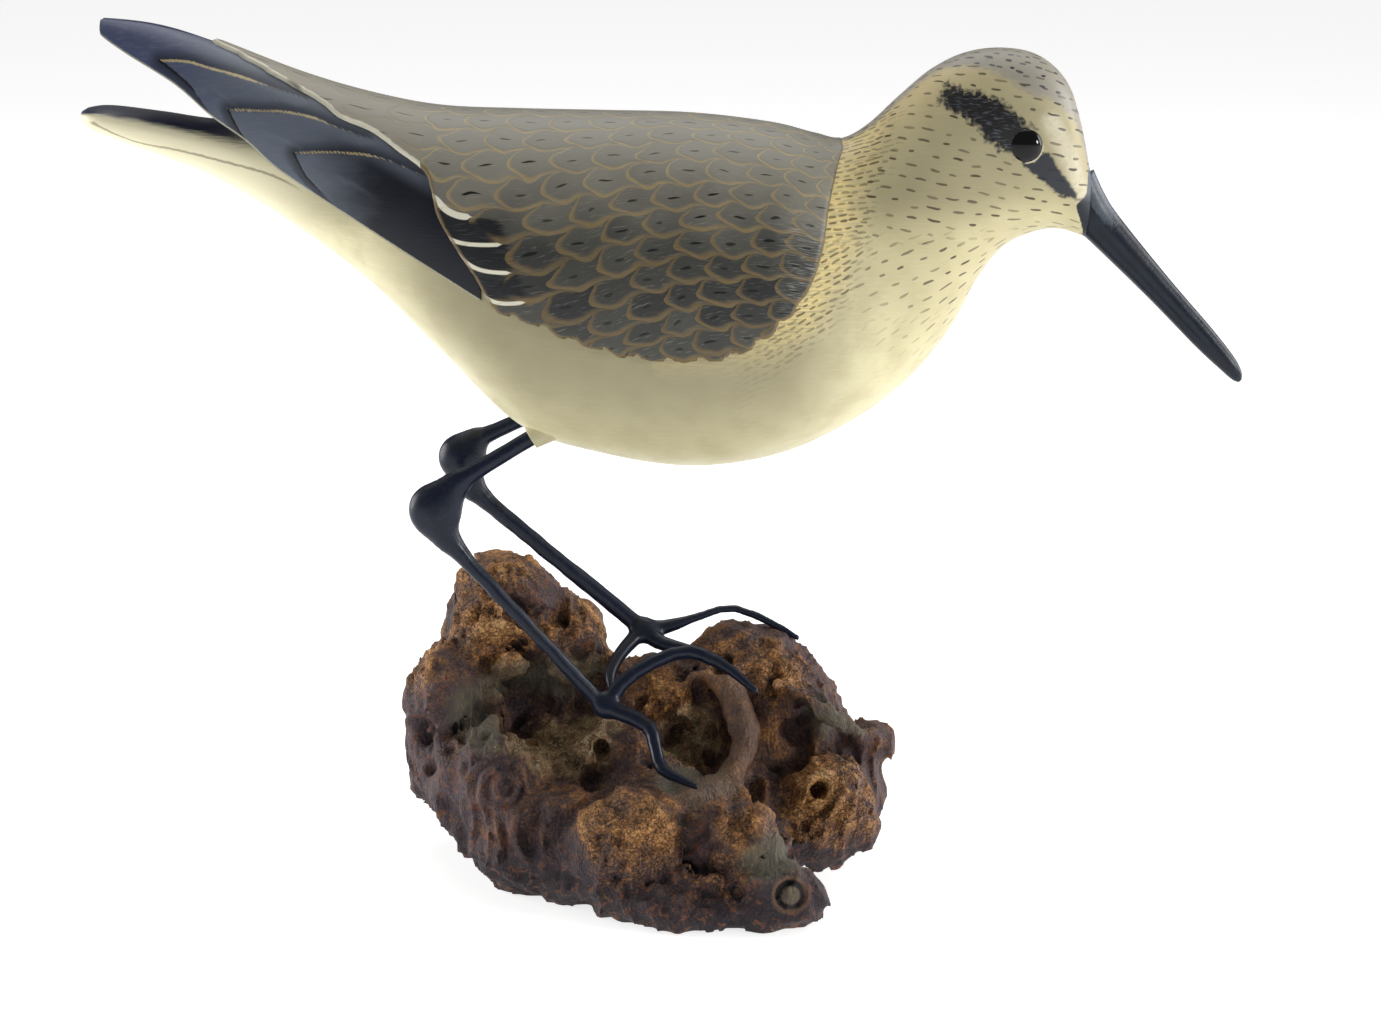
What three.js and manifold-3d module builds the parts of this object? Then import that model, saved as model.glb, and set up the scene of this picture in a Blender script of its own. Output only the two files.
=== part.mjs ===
// A carved and painted shorebird decoy on bent legs, standing on a gnarled root burl.
// Millimetres, +Z up, +X towards the bill. The origin is the middle of the burl's flat underside.
import * as THREE from 'three';
import { mergeVertices } from 'three/addons/utils/BufferGeometryUtils.js';
import Module from 'manifold-3d';

const wasm = await Module();
wasm.setup();

// Clearances between pieces that touch
const SEAT_GAP = 0.3;

// Outline of the bird, from the tail to the face.
// Each row: top x, top z, bottom x, bottom z, half width, height share of the widest line.
const TAIL_ROWS = [
  [-157.0, 220.0, -157.0, 217.2, 3.2, 0.5],
  [-155.0, 221.0, -155.0, 215.2, 6.8, 0.5],
  [-149.0, 221.4, -149.0, 212.9, 10.2, 0.55],
  [-135.0, 219.6, -135.0, 207.8, 13.2, 0.6],
  [-121.0, 217.6, -121.0, 202.2, 15.2, 0.6],
  [-100.0, 217.0, -100.0, 189.6, 18.6, 0.55],
  [-78.0, 217.2, -78.0, 173.2, 25.0, 0.5],
];
const TRUNK_ROWS = [
  [-58.0, 220.0, -58.0, 153.2, 31.5, 0.48],
  [-36.0, 219.0, -36.0, 131.8, 36.5, 0.48],
  [-13.0, 218.5, -13.0, 123.9, 38.8, 0.48],
  [12.0, 217.8, 12.0, 120.3, 39.2, 0.48],
  [34.0, 215.2, 36.0, 123.6, 36.6, 0.48],
  [46.5, 212.2, 56.0, 132.6, 31.8, 0.46],
  [54.0, 212.4, 71.5, 144.0, 27.2, 0.46],
  [61.0, 216.4, 83.6, 158.4, 23.6, 0.48],
  [69.4, 224.2, 91.0, 172.2, 21.0, 0.5],
  [78.2, 231.6, 96.2, 179.8, 19.8, 0.52],
  [87.8, 236.2, 100.4, 183.6, 19.2, 0.54],
  [98.3, 237.4, 105.2, 185.8, 18.6, 0.55],
  [108.0, 235.2, 110.2, 187.2, 17.0, 0.55],
  [115.6, 228.2, 114.8, 187.2, 14.4, 0.54],
  [119.6, 217.2, 118.2, 186.2, 11.0, 0.5],
  [122.6, 203.4, 121.6, 185.0, 7.0, 0.5],
];
const SECTION_POWER = 2.15;
const TAIL_STEPS = 12;
const TRUNK_STEPS = 28;
const BODY_SIDES = 24;

// The folded wings lie on a hull: the first trunk rows, and behind them rows of its own that take
// in the rump and the free tips. Each row: x, top z, bottom z, half width, share of the widest line.
const HULL_TIP_ROWS = [
  [-152.0, 245.8, 214.0, 8.0, 0.48],
  [-136.0, 243.6, 208.0, 12.4, 0.48],
  [-121.0, 239.0, 202.4, 15.4, 0.48],
  [-97.0, 229.6, 187.8, 20.4, 0.48],
  [-77.0, 223.6, 172.4, 26.0, 0.48],
];
const HULL_TRUNK_COUNT = 7;

// Edges of the wings in side view, as x and z, and the depth that the saddle fills between them.
const PRIMARY_LOWER_EDGE = [
  [-150.6, 242.8],
  [-149.6, 241.0],
  [-143.0, 236.8],
  [-129.2, 228.8],
  [-119.0, 220.4],
  [-109.0, 213.6],
  [-99.5, 205.5],
  [-78.6, 192.6],
  [-45.0, 172.6],
];
const PRIMARY_UPPER_EDGE = [
  [-150.6, 244.4],
  [-149.6, 245.0],
  [-136.0, 243.4],
  [-121.0, 239.0],
  [-102.0, 231.0],
  [-75.0, 218.0],
  [-45.0, 203.0],
];
const COVERT_LOWER_EDGE = [
  [-121.0, 239.0],
  [-111.0, 234.2],
  [-90.0, 223.3],
  [-75.2, 215.9],
  [-60.0, 205.0],
  [-57.0, 194.5],
  [-46.7, 178.9],
  [-41.0, 170.3],
  [-18.4, 161.5],
  [2.0, 157.0],
  [21.0, 157.4],
  [35.7, 165.9],
  [44.7, 176.6],
  [49.1, 196.7],
  [51.8, 205.9],
  [54.0, 210.6],
];
const KEEL_LINE = [
  [-121.0, 236.0],
  [-104.0, 222.0],
  [-90.0, 210.0],
  [-58.0, 190.0],
  [54.0, 190.0],
];
const PRIMARY_RELIEF = 0.8;
const COVERT_RELIEF = 1.6;
const PRIMARY_THICKNESS = 3.2;
const COVERT_FADE = 6;
const KEEL_NARROWING = 0.5;
const WING_STEP = 10;
const PRIMARY_SPANS = 6;
const SADDLE_SPANS = 16;
const SADDLE_RIM_SPANS = 3;

// Thigh tufts, legs and toes. Each knot: x, distance outwards from the leg's own plane, z,
// radius in side view and radius across. Toe knots are counted from the foot, with one radius.
const LEG_SPREAD = 15;
const TUFT_RADIUS = 3.3;
const TUFT_ROOT_RADIUS = 5.6;
const TUFT_LENGTH = 16;
const TUFT_SIDES = 12;
const TUFT_STEPS = 3;
const LEG_LETTING_IN = 3;
const TOE_ROOT_RADIUS = 2.5;
const LEG_SIDES = 8;
const THIGH_STEPS = 5;
const SHANK_STEPS = 8;
const TOE_STEPS = 6;
const BALL_SIDES = 10;
const LEGS = {
  leg_right: {
    side: -1,
    thigh: [
      [-30.5, -1.4, 131.8, 2.3, 2.1],
      [-48.5, 0, 121.1, 2.5, 2.3],
      [-54.0, 0, 117.2, 4.0, 3.2],
      [-58.0, 0, 112.6, 5.6, 4.0],
    ],
    heel: [-60.4, 0, 110.0, 7.2, 4.4],
    shank: [
      [-59.8, 0, 108.6, 6.3, 4.2],
      [-57.6, 0, 102.8, 4.3, 3.6],
      [-53.0, 0, 96.9, 2.6, 2.5],
      [-45.3, 0, 88.3, 2.0, 2.0],
      [-12.8, 0, 52.0, 2.1, 2.1],
    ],
    toes: [
      [[11.8, 5, -3.6, 2.1], [14.3, 10, -9, 1.9], [16.8, 15, -14, 1.7], [25.8, 20, -17, 0.9]],
      [[6.8, -4, 8, 2.1], [21.8, -8, 14.2, 2], [32.8, -7, 11, 1.8], [42.8, -3, 4, 1]],
    ],
  },
  leg_left: {
    side: 1,
    thigh: [
      [-33.0, -1.4, 131.5, 2.2, 2.1],
      [-46.2, 0, 125.3, 2.4, 2.3],
      [-50.5, 0, 123.0, 3.9, 3.2],
      [-53.5, 0, 119.4, 5.4, 4.0],
    ],
    heel: [-54.6, 0, 118.4, 6.5, 4.4],
    shank: [
      [-54.0, 0, 117.0, 5.4, 4.2],
      [-52.0, 0, 110.2, 4.2, 3.6],
      [-48.6, 0, 106.4, 2.9, 2.6],
      [-42.0, 0, 100.4, 2.4, 2.1],
      [-9.0, 0, 72.4, 2.4, 2.2],
      [-2.2, 0, 66.8, 2.6, 2.4],
    ],
    toes: [
      [[5.2, 1, -0.6, 2.6], [25.2, 6, 4.6, 1.8], [37.2, 5, 0.6, 1.5], [45.2, 3, -3.8, 0.9]],
      [[5.2, -4, -3, 2.2], [15.2, -10, -3.4, 1]],
      [[-5.8, -7, -4.4, 2], [-9.2, -13, -8.8, 1.8], [-9.3, -18, -12.4, 1.1]],
    ],
  },
};

// The bill, let into the face. Each row: distance from the face, half height, half width and
// the height of its middle over the bill's straight axis.
const BILL_DROP = 47;
const BILL_LOWERING = 1.7;
const BILL_ROWS = [
  [-7, 7.2, 4.6, 1.6],
  [0, 6.3, 4.7, 0.3],
  [8, 5.3, 4.2, 0],
  [30, 4.0, 3.3, 0],
  [50, 3.4, 2.8, 0],
  [60, 3.1, 2.6, 0],
  [64.4, 2.5, 2.1, -0.2],
  [66.2, 1.2, 1.0, -0.6],
];
const BILL_SIDES = 14;

// Glass eyes: flattened balls
const EYE_RADIUS = 4.8;
const EYE_DEPTH = 3.0;
const EYE_PROUD = 1.7;
const EYE_SECTION = 11.15;
const EYE_ANGLE = -2.8;

// The burl: lobes and hollows as centre x, y, z and radii x, y, z.
const BURL_LOBES = [
  [-2, -2, 14, 50.5, 42, 24],
  [0, 18, 20, 56, 32, 30],
  [-43, 28, 57, 20, 20, 29.6],
  [-56.5, 22, 40, 16.5, 24, 22],
  [-61, 20, 21, 10.5, 14, 12],
  [-26, 26, 54, 14, 18, 22],
  [-10, 22, 36, 22, 20, 16],
  [1, 14, 47, 12, 12, 14],
  [27, 20, 44, 24, 20, 24],
  [43, 13, 38, 14, 17, 20],
  [-10, -12, 38, 12, 9, 10],
  [-43, -14, 31, 14, 17, 14],
  [-23, -31, 16, 14, 12, 17],
  [-5, -41, 18, 16, 14, 19],
  [26, -43, 20, 14, 12, 15],
  [37, -51, 8, 13, 11, 11],
  [13, -46, 5, 26, 15, 9],
  [51, -12, 20, 15, 14, 17],
  [58, 8, 19, 10.5, 16, 17],
  [66, 8, 36, 8, 6, 4.5],
];
const BURL_HOLLOWS = [
  [-30, -12, 58, 18, 19, 19],
  [13, -27, 47, 9.5, 9, 13],
  [43, -6, 42, 5, 6, 11],
  [30, -32, 32, 4, 5, 6],
  [39, -63, 11, 4.5, 5, 4.5],
];
const BURL_BLEND = 7;
const HOLLOW_BLEND = 4;
const BURL_CELL = 6.2;
const PINCH_FILL = 0.3;
const BURL_LOW = [-85, -75, -14];
const BURL_HIGH = [90, 62, 97];

// Fineness of the searches and joins
const BISECTIONS = 40;
const DIRECTION_STEP = 0.05;
const MERGE_TOLERANCE = 1e-4;

/** Row of numbers at share u along rows, by a Catmull-Rom curve through them. */
function rowAt(rows, u) {
  const last = rows.length - 1;
  const i = Math.min(Math.floor(u), last - 1);
  const t = u - i;
  const a = rows[Math.max(i - 1, 0)];
  const b = rows[i];
  const c = rows[i + 1];
  const d = rows[Math.min(i + 2, last)];
  return b.map((p, k) => {
    const m0 = (c[k] - a[k]) / 2;
    const m1 = (d[k] - p) / 2;
    const bend = (2 * t ** 3 - 3 * t ** 2 + 1) * p + (t ** 3 - 2 * t ** 2 + t) * m0;
    return bend + (3 * t ** 2 - 2 * t ** 3) * c[k] + (t ** 3 - t ** 2) * m1;
  });
}

/** Row of numbers where the first column, which rises, equals x. */
function rowAtX(rows, x) {
  let low = 0;
  let high = rows.length - 1;
  for (let n = 0; n < BISECTIONS; n += 1) {
    const mid = (low + high) / 2;
    if (rowAt(rows, mid)[0] < x) low = mid;
    else high = mid;
  }
  return rowAt(rows, (low + high) / 2);
}

/** Value of y in points x, y, with straight lines between them. */
function along(points, x) {
  const last = points.length - 1;
  const i = points.findIndex((p) => p[0] >= x);
  if (i <= 0) return i === 0 ? points[0][1] : points[last][1];
  const [x0, y0] = points[i - 1];
  const [x1, y1] = points[i];
  return y0 + (y1 - y0) * (x - x0) / (x1 - x0);
}

/** Signed power, which keeps the sign of the base. */
function power(base, exponent) {
  return Math.sign(base) * Math.abs(base) ** exponent;
}

/** Point of a rounded section between a top and a bottom point, at an angle from the left side. */
function sectionPoint([topX, topZ, bottomX, bottomZ, half, widest], angle, relief = 0) {
  const top = new THREE.Vector3(topX, 0, topZ);
  const bottom = new THREE.Vector3(bottomX, 0, bottomZ);
  const middle = bottom.clone().lerp(top, widest);
  const end = Math.sin(angle) > 0 ? top : bottom;
  const rise = Math.abs(power(Math.sin(angle), 2 / SECTION_POWER));
  const point = middle.clone().lerp(end, rise);
  point.y = half * power(Math.cos(angle), 2 / SECTION_POWER);
  const out = point.clone().sub(middle);
  return point.addScaledVector(out.normalize(), relief);
}

/** Closed solid through rings of points that run towards +x and turn from +y to +z. */
function loft(rings) {
  const sides = rings[0].length;
  const points = rings.flat();
  const faces = [];
  for (let i = 0; i < rings.length - 1; i += 1) {
    for (let j = 0; j < sides; j += 1) {
      const a = i * sides + j;
      const b = i * sides + (j + 1) % sides;
      faces.push(a, b, b + sides);
      faces.push(a, b + sides, a + sides);
    }
  }
  const firstEnd = points.length;
  points.push(centroid(rings[0]), centroid(rings[rings.length - 1]));
  const lastRing = (rings.length - 1) * sides;
  for (let j = 0; j < sides; j += 1) {
    const next = (j + 1) % sides;
    faces.push(firstEnd, next, j);
    faces.push(firstEnd + 1, lastRing + j, lastRing + next);
  }
  return solidOf(points, faces);
}

/** Middle of a ring of points. */
function centroid(ring) {
  const sum = ring.reduce((total, p) => total.add(p), new THREE.Vector3());
  return sum.divideScalar(ring.length);
}

/** Manifold solid from points and triangles. */
function solidOf(points, faces) {
  const vertProperties = new Float32Array(points.flatMap((p) => [p.x, p.y, p.z]));
  const triVerts = new Uint32Array(faces);
  return new wasm.Manifold(new wasm.Mesh({ numProp: 3, vertProperties, triVerts }));
}

/** Manifold solid from a three.js geometry. */
function solidFrom(geometry) {
  const bare = geometry.clone();
  bare.deleteAttribute('normal');
  bare.deleteAttribute('uv');
  const merged = mergeVertices(bare, MERGE_TOLERANCE);
  const vertProperties = new Float32Array(merged.attributes.position.array);
  const triVerts = new Uint32Array(merged.index.array);
  return new wasm.Manifold(new wasm.Mesh({ numProp: 3, vertProperties, triVerts }));
}

/** Named mesh of a manifold solid. */
function meshOf(name, solid, color, roughness) {
  const { numProp, vertProperties, triVerts } = solid.getMesh();
  const geometry = new THREE.BufferGeometry();
  const positions = new Float32Array(vertProperties.length / numProp * 3);
  for (let i = 0; i < positions.length / 3; i += 1) {
    positions.set(vertProperties.slice(i * numProp, i * numProp + 3), i * 3);
  }
  geometry.setAttribute('position', new THREE.BufferAttribute(positions, 3));
  geometry.setIndex(new THREE.BufferAttribute(new Uint32Array(triVerts), 1));
  geometry.computeVertexNormals();
  const material = new THREE.MeshStandardMaterial({ color, roughness, metalness: 0 });
  const mesh = new THREE.Mesh(geometry, material);
  mesh.name = name;
  return mesh;
}

/** Tapered bar along a smooth path of knots: x, y, z, radius and, if it differs, radius across. */
function bar(knots, sides, steps, extra = 0) {
  const rings = [];
  for (let i = 0; i <= steps; i += 1) {
    const u = i / steps * (knots.length - 1);
    const here = rowAt(knots, u);
    const before = rowAt(knots, Math.max(u - DIRECTION_STEP, 0));
    const after = rowAt(knots, Math.min(u + DIRECTION_STEP, knots.length - 1));
    const middle = new THREE.Vector3(...here);
    const run = new THREE.Vector3(...after).sub(new THREE.Vector3(...before)).normalize();
    const up = new THREE.Vector3(0, 1, 0).cross(run).normalize();
    const side = run.clone().cross(up).normalize();
    const tall = here[3] + extra;
    const wide = (here[4] ?? here[3]) + extra;
    const ring = [];
    for (let j = 0; j < sides; j += 1) {
      const angle = j / sides * Math.PI * 2;
      const point = middle.clone().addScaledVector(up, tall * Math.cos(angle));
      ring.push(point.addScaledVector(side, wide * Math.sin(angle)));
    }
    rings.push(ring);
  }
  return loft(rings);
}

/** Ball stretched by three radii at a place. */
function ball(centre, radii) {
  const geometry = new THREE.SphereGeometry(1, BALL_SIDES, BALL_SIDES - 2);
  geometry.scale(...radii);
  geometry.translate(...centre);
  return solidFrom(geometry);
}

/** Trunk, neck, head and tail in one loft. */
function makeTrunk() {
  const rows = [...TAIL_ROWS, ...TRUNK_ROWS];
  const tailEnd = TAIL_ROWS.length;
  const shares = [];
  for (let i = 0; i < TAIL_STEPS; i += 1) {
    shares.push(i / TAIL_STEPS * tailEnd);
  }
  for (let i = 0; i <= TRUNK_STEPS; i += 1) {
    shares.push(tailEnd + i / TRUNK_STEPS * (TRUNK_ROWS.length - 1));
  }
  const rings = shares.map((u) => {
    const row = rowAt(rows, u);
    const ring = [];
    for (let j = 0; j < BODY_SIDES; j += 1) {
      ring.push(sectionPoint(row, j / BODY_SIDES * Math.PI * 2));
    }
    return ring;
  });
  return loft(rings);
}

/** Stations along an edge: its points, and more between them where they lie far apart. */
function stationsOn(edge) {
  return edge.flatMap(([x], i) => {
    if (i === edge.length - 1) return [x];
    const span = edge[i + 1][0] - x;
    const count = Math.ceil(span / WING_STEP);
    return Array.from({ length: count }, (_, n) => x + span * n / count);
  });
}

/** Hull section at x, in the form that sectionPoint takes. */
function hullSection(x) {
  const overTrunk = TRUNK_ROWS.slice(0, HULL_TRUNK_COUNT).map(
    ([topX, topZ, bottomX, ...rest]) => [(topX + bottomX) / 2, topZ, ...rest],
  );
  const [, top, bottom, half, widest] = rowAtX([...HULL_TIP_ROWS, ...overTrunk], x);
  return [x, top, x, bottom, half, widest];
}

/** Angle on a hull section at which its side reaches height z. */
function hullAngle(section, z) {
  const [, top, , bottom, , widest] = section;
  const middle = bottom + widest * (top - bottom);
  const reach = z > middle ? top - middle : middle - bottom;
  const share = THREE.MathUtils.clamp((z - middle) / reach, -1, 1);
  return Math.asin(power(share, SECTION_POWER / 2));
}

/** Dark flight feathers of one wing, a blade that leaves the flank and ends in a free tip. */
function makePrimaries(side) {
  const rings = stationsOn(PRIMARY_LOWER_EDGE).map((x) => {
    const section = hullSection(x);
    const low = hullAngle(section, along(PRIMARY_LOWER_EDGE, x));
    const high = hullAngle(section, along(PRIMARY_UPPER_EDGE, x));
    const outer = [];
    for (let j = 0; j <= PRIMARY_SPANS; j += 1) {
      outer.push(sectionPoint(section, low + (high - low) * j / PRIMARY_SPANS, PRIMARY_RELIEF));
    }
    const inner = outer.slice(1, PRIMARY_SPANS).map((p) => {
      const point = p.clone();
      point.y = Math.max(p.y - PRIMARY_THICKNESS, SEAT_GAP);
      return point;
    });
    const ring = [...outer, ...inner.reverse()];
    return side > 0 ? ring : ring.map((p) => new THREE.Vector3(p.x, -p.y, p.z)).reverse();
  });
  return loft(rings);
}

/** Coverts, shoulder and back feathers of both wings, one saddle over the back. */
function makeSaddle() {
  const front = COVERT_LOWER_EDGE[COVERT_LOWER_EDGE.length - 1][0];
  const rings = stationsOn(COVERT_LOWER_EDGE).map((x) => {
    const section = hullSection(x);
    const low = hullAngle(section, along(COVERT_LOWER_EDGE, x));
    const relief = COVERT_RELIEF * Math.min((front - x) / COVERT_FADE, 1);
    const outer = [];
    for (let j = 0; j <= SADDLE_SPANS; j += 1) {
      outer.push(sectionPoint(section, low + (Math.PI - 2 * low) * j / SADDLE_SPANS, relief));
    }
    const keel = new THREE.Vector3(x, 0, along(KEEL_LINE, x));
    const inner = outer.slice(SADDLE_RIM_SPANS, SADDLE_SPANS + 1 - SADDLE_RIM_SPANS).map((p) => {
      const point = keel.clone();
      point.y = p.y * KEEL_NARROWING;
      return point;
    });
    return [...outer, ...inner.reverse()];
  });
  return loft(rings);
}

/** Knots of a leg in the object's frame. */
function legKnots(knots, side) {
  return knots.map(([x, out, ...rest]) => [x, side * (LEG_SPREAD + out), ...rest]);
}

/** One leg: thigh, heel knob, shank and toes, swelled by extra all round. */
function makeLeg({ side, thigh, heel, shank, toes }, extra = 0) {
  const [[x, y, z, tall, wide]] = legKnots([heel], side);
  let leg = ball([x, y, z], [tall + extra, wide + extra, tall + extra]);
  leg = leg.add(bar(legKnots(thigh, side), LEG_SIDES, THIGH_STEPS, extra));
  leg = leg.add(bar(legKnots(shank, side), LEG_SIDES, SHANK_STEPS, extra));
  const [footX, footOut, footZ] = shank[shank.length - 1];
  toes.forEach((toe) => {
    const beyond = toe.map(([ahead, out, up, r]) => [footX + ahead, footOut + out, footZ + up, r]);
    const knots = [[footX, footOut, footZ, TOE_ROOT_RADIUS], ...beyond];
    leg = leg.add(bar(legKnots(knots, side), LEG_SIDES, TOE_STEPS, extra));
  });
  return leg;
}

/** Painted thigh tuft that the leg is let into. */
function makeTuft({ side, thigh }) {
  const [upper, lower] = legKnots(thigh, side);
  const start = new THREE.Vector3(...upper);
  const run = start.clone().sub(new THREE.Vector3(...lower)).normalize();
  const root = start.clone().addScaledVector(run, TUFT_LENGTH - LEG_LETTING_IN);
  const mouth = start.clone().addScaledVector(run, -LEG_LETTING_IN);
  const knots = [[...mouth.toArray(), TUFT_RADIUS], [...root.toArray(), TUFT_ROOT_RADIUS]];
  return bar(knots, TUFT_SIDES, TUFT_STEPS);
}

/** The bill: a tapering bar from its seat in the face to its rounded tip. */
function makeBill(extra = 0) {
  const face = TRUNK_ROWS[TRUNK_ROWS.length - 1];
  const [topX, topZ, bottomX, bottomZ] = face;
  const base = new THREE.Vector3((topX + bottomX) / 2, 0, (topZ + bottomZ) / 2 - BILL_LOWERING);
  const drop = THREE.MathUtils.degToRad(BILL_DROP);
  const run = new THREE.Vector3(Math.cos(drop), 0, -Math.sin(drop));
  const up = new THREE.Vector3(Math.sin(drop), 0, Math.cos(drop));
  const side = new THREE.Vector3(0, 1, 0);
  const rings = BILL_ROWS.map(([reach, high, wide, lift], n) => {
    const ends = n === 0 ? -extra : 0;
    const middle = base.clone().addScaledVector(run, reach + ends).addScaledVector(up, lift);
    const ring = [];
    for (let j = 0; j < BILL_SIDES; j += 1) {
      const angle = j / BILL_SIDES * Math.PI * 2;
      const point = middle.clone().addScaledVector(side, (wide + extra) * Math.cos(angle));
      ring.push(point.addScaledVector(up, (high + extra) * Math.sin(angle)));
    }
    return ring;
  });
  return loft(rings);
}

/** Eye of one side, swelled by extra, sunk in the head so that it stands proud by its named height. */
function makeEye(side, extra = 0) {
  const row = rowAt(TRUNK_ROWS, EYE_SECTION);
  const angle = THREE.MathUtils.degToRad(EYE_ANGLE);
  const { x, y, z } = sectionPoint(row, angle, EYE_PROUD - EYE_DEPTH);
  return ball([x, side * y, z], [EYE_RADIUS + extra, EYE_DEPTH + extra, EYE_RADIUS + extra]);
}

/** Smallest of two distances, rounded where they meet. */
function blendNear(a, b, k) {
  const h = Math.max(k - Math.abs(a - b), 0) / k;
  return Math.min(a, b) - h * h * k / 4;
}

/** Distance to a stretched ball, less than the true one outside it. */
function ballDistance(p, [x, y, z, rx, ry, rz]) {
  const q = [(p.x - x) / rx, (p.y - y) / ry, (p.z - z) / rz];
  const k0 = Math.hypot(...q);
  const k1 = Math.hypot(q[0] / rx, q[1] / ry, q[2] / rz);
  return k1 > 0 ? k0 * (k0 - 1) / k1 : -Math.min(rx, ry, rz);
}

/** Distance to the burl: lobes grown together, less the hollows, and level one cell below ground. */
function burlDistance(p) {
  let near = Infinity;
  BURL_LOBES.forEach((lobe) => {
    const lobeNear = ballDistance(p, lobe);
    near = near === Infinity ? lobeNear : blendNear(near, lobeNear, BURL_BLEND);
  });
  BURL_HOLLOWS.forEach((hollow) => {
    near = -blendNear(-near, ballDistance(p, hollow), HOLLOW_BLEND);
  });
  return Math.max(near, -p.z - BURL_CELL);
}

/** Take in grid corners until no grid square has two opposite corners inside and two outside. */
function fillPinches(field, squares) {
  let pinched = true;
  while (pinched) {
    pinched = false;
    squares.forEach((square) => {
      const [a, b, c, d] = square.map((n) => field[n] < 0);
      if (a !== c || b !== d || a === b) return;
      const outside = square.filter((n) => field[n] >= 0);
      const nearest = field[outside[0]] < field[outside[1]] ? outside[0] : outside[1];
      field[nearest] = -PINCH_FILL;
      pinched = true;
    });
  }
}

/** The burl: its distance field sampled on a cubic grid and skinned, with a flat underside. */
function makeBurl() {
  const counts = BURL_LOW.map((low, k) => Math.ceil((BURL_HIGH[k] - low) / BURL_CELL) + 1);
  const corner = (i, j, k) => new THREE.Vector3(i, j, k).multiplyScalar(BURL_CELL).add(lowest);
  const index = (i, j, k) => (i * counts[1] + j) * counts[2] + k;
  const lowest = new THREE.Vector3(...BURL_LOW);
  const steps = [[1, 0, 0], [0, 1, 0], [0, 0, 1]];
  const field = new Float64Array(counts[0] * counts[1] * counts[2]);
  const squares = [];
  for (let i = 0; i < counts[0]; i += 1) {
    for (let j = 0; j < counts[1]; j += 1) {
      for (let k = 0; k < counts[2]; k += 1) {
        field[index(i, j, k)] = burlDistance(corner(i, j, k));
        if (i + 1 === counts[0] || j + 1 === counts[1] || k + 1 === counts[2]) continue;
        steps.forEach((u, axis) => {
          const v = steps[(axis + 1) % 3];
          squares.push([
            index(i, j, k),
            index(i + u[0], j + u[1], k + u[2]),
            index(i + u[0] + v[0], j + u[1] + v[1], k + u[2] + v[2]),
            index(i + v[0], j + v[1], k + v[2]),
          ]);
        });
      }
    }
  }
  fillPinches(field, squares);
  const points = [];
  const pointOf = new Map();
  // One skin point in each cell that the surface passes through, at the mean of its edge crossings
  const skinPoint = (i, j, k) => {
    const key = index(i, j, k);
    if (pointOf.has(key)) return pointOf.get(key);
    const sum = new THREE.Vector3();
    let crossings = 0;
    steps.forEach((step, axis) => {
      for (let n = 0; n < 4; n += 1) {
        const offset = [n % 2, n >> 1];
        offset.splice(axis, 0, 0);
        const [a, b, c] = [i + offset[0], j + offset[1], k + offset[2]];
        const near = field[index(a, b, c)];
        const far = field[index(a + step[0], b + step[1], c + step[2])];
        if ((near < 0) !== (far < 0)) {
          const start = corner(a, b, c);
          const end = corner(a + step[0], b + step[1], c + step[2]);
          sum.add(start.lerp(end, near / (near - far)));
          crossings += 1;
        }
      }
    });
    pointOf.set(key, points.length);
    points.push(sum.divideScalar(crossings));
    return points.length - 1;
  };
  const faces = [];
  // Four skin points round each grid edge that the surface cuts make one facet pair
  for (let i = 1; i < counts[0] - 1; i += 1) {
    for (let j = 1; j < counts[1] - 1; j += 1) {
      for (let k = 1; k < counts[2] - 1; k += 1) {
        const here = field[index(i, j, k)];
        steps.forEach((step, axis) => {
          const there = field[index(i + step[0], j + step[1], k + step[2])];
          if ((here < 0) === (there < 0)) return;
          const u = steps[(axis + 1) % 3];
          const v = steps[(axis + 2) % 3];
          const at = (m, n) => skinPoint(
            i - m * u[0] - n * v[0],
            j - m * u[1] - n * v[1],
            k - m * u[2] - n * v[2],
          );
          const round = [at(0, 0), at(1, 0), at(1, 1), at(0, 1)];
          if (here > 0) round.reverse();
          faces.push(round[0], round[1], round[2], round[0], round[2], round[3]);
        });
      }
    }
  }
  const room = BURL_HIGH.map((high, k) => 2 * (high - BURL_LOW[k]));
  const ground = new THREE.BoxGeometry(room[0], room[1], room[2]);
  ground.translate(0, 0, -room[2] / 2);
  return solidOf(points, faces).subtract(solidFrom(ground));
}

let body = makeTrunk().add(makePrimaries(1)).add(makePrimaries(-1)).add(makeSaddle());
let burl = makeBurl();
const legs = Object.entries(LEGS).map(([name, leg]) => {
  body = body.add(makeTuft(leg)).subtract(makeLeg(leg, SEAT_GAP));
  burl = burl.subtract(makeLeg(leg, SEAT_GAP));
  return meshOf(name, makeLeg(leg), '#1b2227', 0.4);
});
body = body.subtract(makeBill(SEAT_GAP));
body = body.subtract(makeEye(-1, SEAT_GAP)).subtract(makeEye(1, SEAT_GAP));

const decoy = new THREE.Group();
decoy.add(meshOf('carved_body', body, '#b9ad86', 0.55));
decoy.add(meshOf('bill', makeBill(), '#171d24', 0.35));
decoy.add(meshOf('eye_right', makeEye(-1), '#050505', 0.05));
decoy.add(meshOf('eye_left', makeEye(1), '#050505', 0.05));
decoy.add(...legs);
decoy.add(meshOf('burl_base', burl, '#6b4024', 0.8));

export default decoy;
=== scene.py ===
"""Shorebird decoy on a root burl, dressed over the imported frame. Sizes are in millimetres."""
import logging
from dataclasses import dataclass, field
from enum import Enum
from functools import reduce
from operator import add, mul

import bpy
import numpy as np
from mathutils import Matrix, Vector
from numpy.typing import NDArray


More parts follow.
